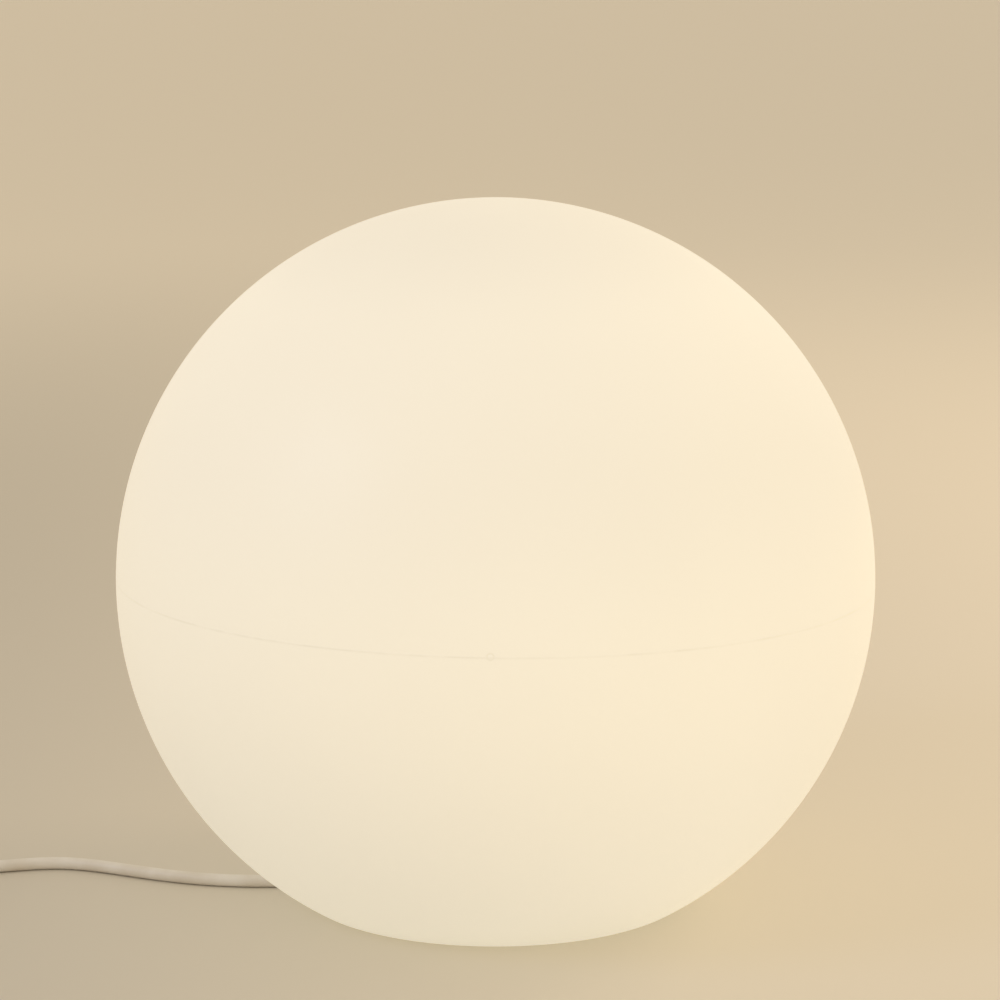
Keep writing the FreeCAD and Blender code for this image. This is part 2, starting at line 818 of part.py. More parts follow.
def gland_body():
    """The gland's hexagon and its thread, from the pad inwards and outwards."""
    thread_length = S["gland_thread_inside"] + S["gland_hex_height"] + S["gland_thread_outside"]
    thread = rod(S["gland_thread_radius"], thread_length, (0, 0, -S["gland_thread_inside"]))
    collar = hexagon(S["gland_hex"], S["gland_hex_height"])
    bore = rod(CORD_BORE, thread_length, (0, 0, -S["gland_thread_inside"]))
    return finished(put(cut(fuse(thread, collar), bore), GLAND_PLACE, ALONG_MINUS_X), "gland_body")


def gland_locknut():
    """The nut that holds the gland from inside the cover."""
    bottom = -S["gland_pad_thickness"] - S["locknut_height"]
    nut = hexagon(S["gland_hex"], S["locknut_height"], (0, 0, bottom))
    bore = rod(S["gland_thread_radius"], S["locknut_height"], (0, 0, bottom))
    return finished(put(cut(nut, bore), GLAND_PLACE, ALONG_MINUS_X), "gland_locknut")


def gland_nut():
    """The cap nut that squeezes the seal round the cord."""
    straight = S["gland_nut_length"] - S["gland_nut_taper"]
    start = S["gland_hex_height"]
    hexed = hexagon(S["gland_hex"], straight, (0, 0, start))
    taper = cone(S["gland_hex"] / 2, S["gland_nut_end"], S["gland_nut_taper"], (0, 0, start + straight))
    thread = rod(S["gland_thread_radius"], S["gland_thread_outside"], (0, 0, start))
    room = rod(S["gland_seal_radius"], S["gland_seal_length"], (0, 0, start + S["gland_thread_outside"]))
    bore = rod(CORD_BORE, S["gland_nut_length"], (0, 0, start))
    return finished(put(cut(fuse(hexed, taper), thread, room, bore), GLAND_PLACE, ALONG_MINUS_X), "gland_nut")


def gland_seal():
    """The rubber ring round the cord, between the gland's thread and its cap nut."""
    start = S["gland_hex_height"] + S["gland_thread_outside"]
    ring = turned([
        (S["cord_radius"], start),
        (S["gland_seal_radius"], start),
        (S["gland_seal_radius"], start + S["gland_seal_length"]),
        (S["cord_radius"], start + S["gland_seal_length"]),
    ], GLAND_PLACE, ALONG_MINUS_X)
    return finished(ring, "gland_seal")


def cord_inner():
    """The end of the cord's sheath, from the gland's mouth to past the clamp."""
    start = CORD_INNER_LENGTH - GLAND_END
    sheath = rod(S["cord_radius"], CORD_INNER_LENGTH, (start, 0, GLAND_AXIS), ALONG_MINUS_X)
    return finished(sheath, "cord_inner")


def cord_clamp():
    """The bridge that holds the cord down on its seat in the cover."""
    bridge = block(
        (S["clamp_length"], S["clamp_width"], S["clamp_height"]),
        (-CLAMP_FAR_SIDE, -S["clamp_width"] / 2, CLAMP_BOTTOM),
    )
    far_side = (S["clamp_length"] - CLAMP_FAR_SIDE, 0, GLAND_AXIS)
    round_way = rod(S["cord_radius"], S["clamp_length"], far_side, ALONG_MINUS_X)
    slot = block(
        (S["clamp_length"], S["cord_radius"] * 2, S["cord_radius"]),
        (-CLAMP_FAR_SIDE, -S["cord_radius"], CLAMP_BOTTOM),
    )
    holes = [
        rod(S["clamp_screw_radius"], S["clamp_height"], (CLAMP_MIDDLE, across, CLAMP_BOTTOM))
        for across in CLAMP_SCREW_PLACES
    ]
    return finished(cut(bridge, round_way, slot, *holes), "cord_clamp")


def clamp_screws():
    """The two screws of the cord clamp, with their heads on top."""
    top = CLAMP_BOTTOM + S["clamp_height"]
    screws = [
        screw(
            S["clamp_screw_head"], S["clamp_screw_head_height"],
            S["clamp_screw_radius"], S["clamp_screw_depth"],
            (CLAMP_MIDDLE, across, top), Rotation(Vector(1, 0, 0), 180),
        )
        for across in CLAMP_SCREW_PLACES
    ]
    return finished(group(screws), "clamp_screws")



# ---------------------------------------------------------------- terminals and wires


def terminal_places():
    """Places of the four terminal screws, across the block."""
    return [
        (S["terminal_offset"] + along * S["terminal_row"] / 2, across * S["terminal_pitch"] / 2)
        for along in (-1, 1)
        for across in (-1, 1)
    ]


def terminal_block():
    """The two-pole block on the cover's floor."""
    body = block(
        (S["terminal_length"], S["terminal_width"], S["terminal_height"]),
        (TERMINAL_NEAR, -S["terminal_width"] / 2, COVER_FLOOR),
    )
    holes = [
        rod(S["terminal_screw_radius"] + S["terminal_well_gap"], S["terminal_well_depth"],
            (along, across, TERMINAL_TOP - S["terminal_well_depth"]))
        for along, across in terminal_places()
    ]
    entry_radius = S["wire_radius"] + S["terminal_entry_gap"]
    for across in (-1, 1):
        side = across * S["terminal_pitch"] / 2
        for end in (TERMINAL_NEAR + S["terminal_entry_depth"], TERMINAL_FAR):
            start = (end, side, TERMINAL_ENTRY)
            holes.append(rod(entry_radius, S["terminal_entry_depth"], start, ALONG_MINUS_X))
    middle = S["terminal_offset"]
    holes.append(rod(S["block_screw_head"], S["block_screw_sink"], (middle, 0, BLOCK_SCREW_SEAT)))
    holes.append(rod(S["clamp_screw_radius"], BLOCK_SCREW_SEAT - COVER_FLOOR, (middle, 0, COVER_FLOOR)))
    return finished(cut(body, *holes), "terminal_block")


def terminal_screws():
    """The four grub screws that grip the wires."""
    screws = []
    for along, across in terminal_places():
        bottom = TERMINAL_TOP - S["terminal_well_depth"]
        grub = rod(S["terminal_screw_radius"], S["terminal_screw_length"], (along, across, bottom))
        top = bottom + S["terminal_screw_length"] - S["slot_depth"]
        slot = block(
            (S["terminal_screw_radius"] * 2, S["slot_width"], S["slot_depth"]),
            (along - S["terminal_screw_radius"], across - S["slot_width"] / 2, top),
        )
        screws.append(cut(grub, slot))
    return finished(group(screws), "terminal_screws")


def block_screw():
    """The screw that holds the terminal block to the cover's floor."""
    fixing = screw(
        S["block_screw_head"], S["clamp_screw_head_height"],
        S["clamp_screw_radius"], BLOCK_SCREW_SEAT - BLOCK_SCREW_END,
        (S["terminal_offset"], 0, BLOCK_SCREW_SEAT), Rotation(Vector(1, 0, 0), 180),
    )
    return finished(fixing, "block_screw")


def rounded_path(points, report):
    """A wire of straight runs joined by tangent arcs, as large as the runs allow."""
    edges = []
    reached = points[0]
    radii = []
    for before, corner, after in zip(points, points[1:], points[2:]):
        entering = (corner - before).normalize()
        leaving = (after - corner).normalize()
        half_turn = entering.getAngle(leaving) / 2
        reach = RUN_SHARE * min(before.distanceToPoint(corner), corner.distanceToPoint(after))
        radius = reach / math.tan(half_turn)
        start = corner - entering * reach
        end = corner + leaving * reach
        inward = (leaving - entering).normalize()
        centre = corner + inward * (radius / math.cos(half_turn))
        edges.append(Part.LineSegment(reached, start).toShape())
        edges.append(Part.Arc(start, centre - inward * radius, end).toShape())
        reached = end
        radii.append(radius)
    edges.append(Part.LineSegment(reached, points[-1]).toShape())
    print(report, "bend radii:", [round(radius, 1) for radius in radii])
    return Part.Wire(edges)


def tube(path, radius, label):
    """A round tube along a wire, as a sub-part, with its volume compared."""
    first = path.OrderedEdges[0]
    start = first.valueAt(first.FirstParameter)
    along = first.tangentAt(first.FirstParameter)
    section = Part.Wire([Part.makeCircle(radius, start, along)])
    solid = path.makePipeShell([section], True, False)
    expected = math.pi * radius ** 2 * path.Length
    print(label, "length %.1f, volume ratio %.5f" % (path.Length, solid.Volume / expected))
    if abs(solid.Volume / expected - 1) > 0.01:
        raise ValueError(label + " has the wrong volume")
    feature = doc.addObject("Part::Feature", "Tube")
    feature.Shape = solid
    feature.Placement = Placement()
    return finished(feature, label)


def read(name):
    """A size as the sheet has it."""
    return float(doc.Sizes.get(name))


def supply_wires():
    """The cord's two cores, from the sheath's end to the terminal block."""
    sheath_end = (CORD_INNER_LENGTH - GLAND_END).value
    side = read("terminal_pitch") / 2
    for label, across in (("supply_wire_live", 1), ("supply_wire_neutral", -1)):
        points = [
            Vector(sheath_end, across * 1.7, GLAND_AXIS.value),
            Vector(sheath_end + 4.5, across * 2, GLAND_AXIS.value - 0.1),
            Vector(TERMINAL_NEAR.value - 5.5, across * (side - 0.2), TERMINAL_ENTRY.value + 0.1),
            Vector(TERMINAL_NEAR.value, across * side, TERMINAL_ENTRY.value),
            Vector(TERMINAL_NEAR.value + read("terminal_entry_depth"), across * side, TERMINAL_ENTRY.value - 0.05),
        ]
        tube(rounded_path(points, label), read("wire_radius"), label)


def lamp_wires():
    """The two wires from the terminal block, up through the nipple to the lampholder."""
    side = read("terminal_pitch") / 2
    far = TERMINAL_FAR.value
    nipple_end = DOME_TOP.value - read("nipple_below")
    for label, across in (("lamp_wire_live", 1), ("lamp_wire_neutral", -1)):
        points = [
            Vector(far - read("terminal_entry_depth"), across * side, TERMINAL_ENTRY.value),
            Vector(far + 4, across * side, TERMINAL_ENTRY.value + 0.1),
            Vector(far + 7.5, across * (side - 0.1), TERMINAL_ENTRY.value + 9),
            Vector(far + 4, across * (side - 0.5), nipple_end - 17),
            Vector(far - 8, across * 3, nipple_end - 8.5),
            Vector(3, across * 1.9, nipple_end - 5),
            Vector(0, across * 1.7, nipple_end - 0.5),
            Vector(0, across * 1.7, INSERT_BOTTOM.value),
        ]
        tube(rounded_path(points, label), read("wire_radius"), label)


# ---------------------------------------------------------------- lampholder

def holder_nipple():
    """The threaded tube that carries the lampholder on the dome."""
    bottom = DOME_TOP - S["nipple_below"]
    top = DOME_TOP + S["holder_floor"]
    pipe = turned([
        (S["nipple_bore"], bottom),
        (S["nipple_radius"], bottom),
        (S["nipple_radius"], top),
        (S["nipple_bore"], top),
    ])
    return finished(pipe, "holder_nipple")


def nipple_nut():
    """The nut under the dome's ceiling."""
    bottom = DOME_TOP - S["dome_wall"] - S["nipple_nut_height"]
    nut = hexagon(S["nipple_nut_size"], S["nipple_nut_height"], (0, 0, bottom))
    bore = rod(S["nipple_radius"], S["nipple_nut_height"], (0, 0, bottom))
    return finished(cut(nut, bore), "nipple_nut")


def lampholder_base():
    """The holder's lower cup, screwed to the nipple."""
    top = DOME_TOP + S["holder_base_height"]
    floor = DOME_TOP + S["holder_floor"]
    shoulder = HOLDER_BORE - S["insert_shoulder"]
    cup = turned([
        (S["nipple_radius"], DOME_TOP),
        (S["holder_radius"], DOME_TOP),
        (S["holder_radius"], top),
        (HOLDER_BORE, top),
        (HOLDER_BORE, INSERT_BOTTOM),
        (shoulder, INSERT_BOTTOM),
        (shoulder, floor),
        (S["nipple_radius"], floor),
    ])
    return finished(cup, "lampholder_base")


def lampholder_sleeve():
    """The holder's upper sleeve, which clamps the insert."""
    bottom = DOME_TOP + S["holder_base_height"]
    top = bottom + S["holder_sleeve_height"]
    sleeve = turned([
        (HOLDER_BORE, bottom),
        (S["holder_radius"], bottom),
        (S["holder_radius"], top),
        (SLEEVE_BORE, top),
        (SLEEVE_BORE, INSERT_TOP),
        (HOLDER_BORE, INSERT_TOP),
    ])
    return finished(sleeve, "lampholder_sleeve")


def holder_insert():
    """The ceramic disc that carries the holder's contacts."""
    disc = rod(HOLDER_BORE - S["insert_gap"], S["insert_thickness"], (0, 0, INSERT_BOTTOM))
    holes = [
        rod(S["holder_screw_radius"], S["holder_screw_depth"], (across, 0, INSERT_BOTTOM))
        for across in (S["holder_screw_offset"], -S["holder_screw_offset"])
    ]
    return finished(cut(disc, *holes), "holder_insert")


def holder_terminal_screws():
    """The two screws under the insert that hold the wires."""
    screws = [
        screw(
            S["holder_screw_head"], S["holder_screw_head_height"],
            S["holder_screw_radius"], S["holder_screw_depth"],
            (across, 0, INSERT_BOTTOM),
        )
        for across in (S["holder_screw_offset"], -S["holder_screw_offset"])
    ]
    return finished(group(screws), "holder_terminal_screws")


def centre_contact():
    """The brass tongue that meets the lamp's tip."""
    strip = block(
        (S["contact_strip_length"], S["contact_strip_width"], S["contact_strip_thickness"]),
        (-S["contact_strip_length"] / 2, -S["contact_strip_width"] / 2, INSERT_TOP),
    )
    button = rod(S["contact_radius"], S["contact_height"], (0, 0, INSERT_TOP))
    return finished(fuse(strip, button), "centre_contact")


def thread_ridge(foot_radius, crest_radius, foot_width, crest_width, turns, start):
    """A right-handed ridge: its radii, its widths at foot and crest, its turns and first height."""
    pitch = read("thread_pitch")
    helix = Part.makeHelix(pitch, pitch * turns, min(foot_radius, crest_radius))
    corners = [
        Vector(foot_radius, 0, -foot_width / 2),
        Vector(crest_radius, 0, -crest_width / 2),
        Vector(crest_radius, 0, crest_width / 2),
        Vector(foot_radius, 0, foot_width / 2),
    ]
    section = Part.makePolygon(corners + corners[:1])
    ridge = Part.Wire(helix).makePipeShell([section], True, True)
    ridge.translate(Vector(0, 0, start))
    return ridge


def screw_shell():
    """The lampholder's threaded brass shell."""
    bottom = INSERT_TOP.value
    outer = Part.makeCylinder(SOCKET_OUTER.value, read("shell_length"), Vector(0, 0, bottom))
    bore = Part.makeCylinder(SOCKET_ROOT.value, read("shell_length"), Vector(0, 0, bottom))
    ridge = thread_ridge(
        SOCKET_ROOT.value + read("thread_plate") / 2, SOCKET_CREST.value,
        read("socket_foot_width"), read("socket_crest_width"),
        read("socket_turns"), THREAD_START.value - read("thread_pitch") / 2,
    )
    feature = doc.addObject("Part::Feature", "ScrewShell")
    feature.Shape = outer.cut(bore).fuse(ridge)
    feature.Placement = Placement()
    return finished(feature, "screw_shell")



# ---------------------------------------------------------------- lamp

def bulb_contact_tip():
    """The solder tip at the lamp's foot."""
    disc = rod(S["tip_radius"], S["tip_thickness"], (0, 0, TIP_BOTTOM))
    return finished(disc, "bulb_contact_tip")


def bulb_cap_insulator():
    """The glassy cone between the tip and the threaded cap."""
    rim = S["thread_root"] - S["cap_inset"]
    top = CAP_BOTTOM + S["insulator_step"]
    cone_piece = turned([
        (0, INSULATOR_BOTTOM),
        (S["tip_radius"], INSULATOR_BOTTOM),
        (rim, CAP_BOTTOM),
        (rim, top),
        (0, top),
    ])
    return finished(cone_piece, "bulb_cap_insulator")


def bulb_screw_cap():
    """The lamp's threaded metal cap."""
    length = read("cap_length")
    rim = read("thread_root") - read("cap_inset")
    bottom = CAP_BOTTOM.value
    outer = Part.makeCylinder(read("thread_root"), length, Vector(0, 0, bottom))
    bore = Part.makeCylinder(CAP_BORE.value, length - read("cap_rim"), Vector(0, 0, bottom + read("cap_rim")))
    mouth = Part.makeCylinder(rim, length, Vector(0, 0, bottom))
    ridge = thread_ridge(
        read("thread_root") - read("thread_plate") / 2, read("thread_crest"),
        read("thread_foot_width"), read("thread_crest_width"),
        read("thread_turns"), THREAD_START.value,
    )
    feature = doc.addObject("Part::Feature", "ScrewCap")
    feature.Shape = outer.cut(bore).cut(mouth).fuse(ridge)
    feature.Placement = Placement()
    return finished(feature, "bulb_screw_cap")


def bulb_housing():
    """The lamp's plastic body: a plug in the cap, a flare and the seat of the board."""
    wall = S["housing_wall"]
    plug_bottom = CAP_TOP - S["housing_plug"]
    plug_bore = CAP_BORE - wall
    waist = S["thread_root"] + wall
    waist_top = CAP_TOP + wall
    board_room = LED_BOARD_RADIUS + S["led_board_gap"]
    seat_radius = LED_BOARD_RADIUS - S["led_board_seat"]
    housing = turned([
        (plug_bore, plug_bottom),
        (CAP_BORE, plug_bottom),
        (CAP_BORE, CAP_TOP),
        (waist, CAP_TOP),
        (waist + wall / 2, waist_top),
        (S["housing_radius"] - wall, LED_SEAT - wall),
        (S["housing_radius"], LED_SEAT + wall),
        (S["housing_radius"], HOUSING_TOP),
        (board_room, HOUSING_TOP),
        (board_room, LED_SEAT),
        (seat_radius, LED_SEAT),
        (seat_radius, LED_SEAT - wall),
        (S["thread_root"], waist_top + wall),
        (S["thread_root"], waist_top),
        (plug_bore, waist_top),
    ])
    return finished(housing, "bulb_housing")


def led_board():
    """The round board of the light-emitting chips."""
    return finished(rod(LED_BOARD_RADIUS, S["led_board_thickness"], (0, 0, LED_SEAT)), "led_board")


def led_chips():
    """The ring of chips on the board."""
    chips = []
    for number in range(LED_CHIP_COUNT):
        chip = block(
            (S["led_chip_width"], S["led_chip_length"], S["led_chip_thickness"]),
            (S["led_chip_circle"] - S["led_chip_width"] / 2, -S["led_chip_length"] / 2, LED_TOP),
        )
        placed = group([chip])
        placed.Placement = Placement(Vector(), Rotation(Vector(0, 0, 1), number * 360 / LED_CHIP_COUNT))
        chips.append(placed)
    return finished(group(chips), "led_chips")


def driver_board():
    """The upright circuit board inside the housing."""
    bottom = CAP_TOP + S["housing_wall"]
    board = block(
        (S["driver_width"], S["driver_thickness"], LED_SEAT - bottom),
        (-S["driver_width"] / 2, -S["driver_thickness"] / 2, bottom),
    )
    return finished(board, "driver_board")


def driver_capacitor():
    """The capacitor on the face of the upright board."""
    across = S["driver_thickness"] / 2 + S["capacitor_radius"]
    can = rod(
        S["capacitor_radius"], S["capacitor_length"],
        (0, across, CAP_TOP + S["housing_wall"] + S["capacitor_rise"]),
    )
    return finished(can, "driver_capacitor")


def bulb_diffuser():
    """The lamp's milky dome, a hollow ball open below."""
    radius = S["housing_radius"] + S["diffuser_lip"]
    rise = root(radius * radius - S["housing_radius"] * S["housing_radius"])
    centre = HOUSING_TOP + rise
    dome = footed_ball(radius, centre, HOUSING_TOP)
    inner_ball = footed_ball(radius - S["diffuser_wall"], centre, HOUSING_TOP)
    return finished(cut(dome, inner_ball), "bulb_diffuser")


# ---------------------------------------------------------------- free cord and plug

def heading(angle):
    """The unit vector of an angle on the ground."""
    return Vector(math.cos(math.radians(angle)), math.sin(math.radians(angle)), 0)


def coil_knots():
    """Quarter-turn points of the coil, each with its direction.

    The cord spirals in on the first layer, climbs in the half turn where the spiral
    reverses, spirals out on the next, and so on.
    """
    rate = read("coil_pitch") / 360
    climb = read("coil_layer_pitch")
    start_radius = read("coil_inner_radius") + rate * 90 * COIL_QUARTERS
    centre = Vector(*COIL_START) - heading(COIL_START_ANGLE) * start_radius
    knots = []
    passed = 0
    for layer in range(COIL_LAYERS):
        last_layer = layer == COIL_LAYERS - 1
        quarters = COIL_LAST_QUARTERS if last_layer else COIL_QUARTERS
        inward = layer % 2 == 0
        for quarter in range(quarters + (1 if last_layer else 0)):
            first = quarter == 0 and layer > 0
            after_climb = quarter == 1 and layer > 0
            before_climb = quarter == quarters - 1 and not last_layer
            out = (COIL_QUARTERS - quarter) if inward else quarter
            radius = read("coil_inner_radius") + rate * 90 * out
            angle = COIL_START_ANGLE + 90 * (passed + quarter)
            level = climb * (layer - 0.5) if first else climb * layer
            outward = 0 if first else (-rate if inward else rate)
            upward = 1.5 * climb / 180 if first else 0
            if after_climb or before_climb:
                upward = 0
            spoke = heading(angle)
            along = heading(angle + 90)
            point = centre + spoke * radius + Vector(0, 0, level)
            direction = along * math.radians(radius) + spoke * outward + Vector(0, 0, upward)
            knots.append((point, direction.normalize()))
        passed += quarters
    knots[0] = (knots[0][0], heading(COIL_START_ANGLE + 90))
    knots[-1] = (knots[-1][0], heading(COIL_START_ANGLE + 90 * (passed + 1)))
    return knots


def biarc(start, start_direction, end, end_direction):
    """Two arcs that join two points smoothly, in space."""
    chord = end - start
    both = start_direction + end_direction
    bend = 2 * (1 - start_direction.dot(end_direction))
    slope = chord.dot(both)
    reach = (math.sqrt(slope * slope + bend * chord.dot(chord)) - slope) / bend
    joint = (start + end + (start_direction - end_direction) * reach) * 0.5
    return [
        arc_from(start, start_direction, joint),
        arc_from(end, end_direction * -1, joint, backwards=True),
    ]


def arc_from(start, direction, end, backwards=False):
    """The arc from a point along a direction to another point."""
    chord = end - start
    across = (direction * chord.dot(chord) - chord * chord.dot(direction)).normalize()
    half = direction.getAngle(chord)
    middle = (start + end) * 0.5 + across * (chord.Length / 2 * math.tan(half / 2))
    if backwards:
        return Part.Arc(end, middle, start).toShape()
    return Part.Arc(start, middle, end).toShape()


def least_gap(path, radius, steps):
    """The least gap of a wound tube to itself, on points a quarter turn or more apart."""
    points = path.discretize(Number=steps)
    step = path.Length / (steps - 1)
    skip = int(math.pi * read("coil_inner_radius") / step)
    nearest = min(
        (points[first] - points[second]).Length
        for first in range(0, steps, 2)
        for second in range(first + skip, steps)
    )
    return nearest - 2 * radius


def free_cord():
    """The lead on the ground, the coil of the rest and the tail to the plug."""
    radius = read("cord_radius")
    gland_mouth = Vector(-GLAND_END.value, 0, GLAND_AXIS.value)
    gland_turn = gland_mouth - Vector(GLAND_RUN, 0, 0)
    knots = coil_knots()
    lead_points = [gland_mouth, gland_turn] + [Vector(*point) for point in LEAD_ROUTE] + [knots[0][0]]
    tube(rounded_path(lead_points, "cord_lead"), radius, "cord_lead")

    edges = []
    for (start, start_direction), (end, end_direction) in zip(knots, knots[1:]):
        edges += biarc(start, start_direction, end, end_direction)
    coil_path = Part.Wire(edges)
    print("cord_coil least gap to itself: %.2f" % least_gap(coil_path, radius, 1200))
    tube(coil_path, radius, "cord_coil")

    plug_place = Vector(*PLUG_PLACE)
    plug_way = heading(270 + PLUG_YAW)
    tail_points = [knots[-1][0]] + [Vector(*point) for point in TAIL_ROUTE]
    tail_points += [plug_place - plug_way * TAIL_LAST_RUN, plug_place]
    tube(rounded_path(tail_points, "cord_tail"), radius, "cord_tail")


def plug_strain_relief():
    """The ribbed sleeve that keeps the cord from kinking at the plug."""
    step = S["relief_length"] / (2 * RELIEF_RIBS - 1)
    growth = (S["relief_end"] - S["relief_start"]) / (RELIEF_RIBS - 1)
    outline = [(0, 0)]
    for number in range(RELIEF_RIBS):
        radius = S["relief_start"] + growth * number
        height = step * 2 * number
        outline.append((radius, height))
        outline.append((radius, height + step))
        if number < RELIEF_RIBS - 1:
            outline.append((radius - S["relief_groove"], height + step))
            outline.append((radius - S["relief_groove"], height + step * 2))
    outline.append((0, S["relief_length"]))
    return finished(turned(outline, PLUG_PLACE, PLUG_TURN), "plug_strain_relief")


def plug_body():
    """The moulded plug, with a flat side that it lies on."""
    grip = cone(S["plug_grip_start"], S["plug_grip_end"], S["plug_grip_length"], (0, 0, S["relief_length"]))
    face_start = S["relief_length"] + S["plug_grip_length"]
    face = rod(S["plug_radius"], S["plug_face_length"], (0, 0, face_start))
    room = block(
        (S["plug_radius"] * 2, S["plug_half_height"] * 2, S["plug_grip_length"] + S["plug_face_length"]),
        (-S["plug_radius"], -S["plug_half_height"], S["relief_length"]),
    )
    return finished(put(common(fuse(grip, face), room), PLUG_PLACE, PLUG_TURN), "plug_body")


def plug_pins():
    """The plug's two round pins."""
    start = S["relief_length"] + S["plug_grip_length"] + S["plug_face_length"]
    pins = []
    for across in (S["pin_pitch"] / 2, -S["pin_pitch"] / 2):
        pins.append(turned([
            (0, 0),
            (S["pin_radius"], 0),
            (S["pin_radius"], S["pin_length"] - S["pin_tip"]),
            (S["pin_radius"] - S["pin_tip"], S["pin_length"]),
            (0, S["pin_length"]),
        ], (across, 0, start)))
    return finished(put(group(pins), PLUG_PLACE, PLUG_TURN), "plug_pins")


def check_model():
    """Stop if any object failed or any sub-part is not a sound shape."""
    for obj in doc.Objects:
        if "Invalid" in obj.State or "Error" in obj.State:
            raise ValueError("%s failed: %s" % (obj.Label, obj.State))
    for obj in sub_parts:
        if obj.Shape.isNull() or not obj.Shape.isValid() or not obj.Shape.Solids:
            raise ValueError("%s is not a sound solid" % obj.Label)


def main():
    """Build every sub-part, check them and write one file for each."""
    makers = (
        globe_shell, carrier_plate, neck_gasket, locking_ring, wiring_cover, cover_gasket, cover_screws,
        gland_body, gland_locknut, gland_seal, gland_nut, cord_inner, cord_clamp, clamp_screws,
        terminal_block, terminal_screws, block_screw, supply_wires, lamp_wires,
        holder_nipple, nipple_nut, lampholder_base, holder_insert, holder_terminal_screws,
        lampholder_sleeve, screw_shell, centre_contact,
        bulb_contact_tip, bulb_cap_insulator, bulb_screw_cap, bulb_housing, led_board, led_chips,
        driver_board, driver_capacitor, bulb_diffuser,
        free_cord, plug_strain_relief, plug_body, plug_pins,
    )
    for make in makers:
        make()
    doc.recompute()
    check_model()
    os.makedirs("parts", exist_ok=True)
    for obj in sub_parts:
        obj.Shape.exportStep("parts/%s.step" % obj.Label)
        print("%-24s %2d solid(s) %12.1f mm3" % (obj.Label, len(obj.Shape.Solids), obj.Shape.Volume))


main()
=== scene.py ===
"""Garden globe light: the look of an opal moulded ball with its lamp unit, cord and plug.

Every length is in metres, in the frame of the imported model: the origin is the middle of
the foot, +Z is up and -Y is the front.
"""
from functools import partial
from math import acos, copysign, cos, degrees, exp, pi, radians, sin, sqrt, tan

import bmesh
import bpy
from mathutils import Matrix, Vector


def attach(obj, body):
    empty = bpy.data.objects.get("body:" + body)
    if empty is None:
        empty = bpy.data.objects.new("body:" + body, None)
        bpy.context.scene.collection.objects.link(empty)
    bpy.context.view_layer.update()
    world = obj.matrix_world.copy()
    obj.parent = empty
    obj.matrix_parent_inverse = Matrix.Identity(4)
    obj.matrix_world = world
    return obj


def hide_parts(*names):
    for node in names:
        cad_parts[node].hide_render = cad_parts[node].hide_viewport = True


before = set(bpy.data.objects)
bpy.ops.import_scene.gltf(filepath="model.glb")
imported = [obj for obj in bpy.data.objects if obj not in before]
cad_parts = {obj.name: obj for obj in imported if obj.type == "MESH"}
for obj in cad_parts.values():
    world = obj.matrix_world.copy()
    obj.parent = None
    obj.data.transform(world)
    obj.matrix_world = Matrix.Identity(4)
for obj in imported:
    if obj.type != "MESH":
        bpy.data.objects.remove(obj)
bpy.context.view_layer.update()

bl_info = {
    "name": "Garden globe light",
    "version": (1, 0, 0),
    "blender": (4, 5, 0),
    "location": "3D View > Sidebar > Globe light",
    "description": "Builds a glowing moulded ball with its lamp unit, cord and plug round its CAD frame",
    "category": "Object",
}

MM = 0.001


def linear(hex_colour):
    """The linear RGBA of an sRGB hex colour."""
    channels = [int(hex_colour[start:start + 2], 16) / 255 for start in (0, 2, 4)]
    return tuple(c / 12.92 if c <= 0.04045 else ((c + 0.055) / 1.055) ** 2.4 for c in channels) + (1.0,)


# ---- settings

def length(name, description, default):
    """A length that a user may change, in metres."""
    return bpy.props.FloatProperty(
        name=name, description=description, default=default, min=0, precision=5, unit="LENGTH")


def amount(name, description, default, low, high, unit="NONE"):
    """A number that a user may change."""
    return bpy.props.FloatProperty(
        name=name, description=description, default=default, min=low, max=high, unit=unit)


def whole(name, description, default, low, high):
    """A whole number that a user may change."""
    return bpy.props.IntProperty(name=name, description=description, default=default, min=low, max=high)


def colour(name, description, hex_colour):
    """A colour that a user may change."""
    return bpy.props.FloatVectorProperty(
        name=name, description=description, default=linear(hex_colour), size=4, min=0, max=1, subtype="COLOR")


class GlobeShellSettings(bpy.types.PropertyGroup):
    """Sizes and glow of the moulded globe."""
    radius: length("Radius", "Outside radius of the ball", 200 * MM)
    wall: length("Wall", "Thickness of the moulding", 4 * MM)
    foot_radius: length("Foot radius", "Radius of the flat that the ball stands on", 103.7 * MM)
    foot_rounding: length("Foot rounding", "Radius of the soft edge round the foot", 14 * MM)
    recess_radius: length("Recess radius", "Radius of the recess in the foot", 84 * MM)
    recess_height: length("Recess height", "Height of the ledge over the ground", 36 * MM)
    neck_radius: length("Neck radius", "Radius of the hole for the lamp", 60 * MM)
    seam_rise: length("Parting line rise", "Height of the parting line over the ball's middle", 1.6 * MM)
    seam_height: length("Parting line height", "How far the parting line stands proud", 0.06 * MM)
    seam_tilt: bpy.props.FloatProperty(
        name="Parting line tilt", description="How much higher the parting line is on the left",
        default=radians(0.7), subtype="ANGLE")
    segments: whole("Segments", "Faces round the ball", 192, 24, 256)
    glow: amount("Glow", "Strength of the light that leaves the surface", 1.0, 0, 5)
    glow_top: colour("Glow above", "Colour of the light over the lamp", "B0A793")
    glow_middle: colour("Glow at the middle", "Colour of the light at the parting line", "B7AE99")
    glow_foot: colour("Glow at the foot", "Colour of the light near the foot", "A7A293")
    plastic: colour("Plastic", "Colour of the moulding in daylight", "D9D8D4")


class GlobeCordSettings(bpy.types.PropertyGroup):
    """Sizes and colour of the cord."""
    diameter: length("Diameter", "Diameter of the round cord", 6.6 * MM)
    free_length: length("Length", "Length from the gland to the plug", 2.964)
    sheath: colour("Sheath", "Colour of the cord", "EBE7E0")


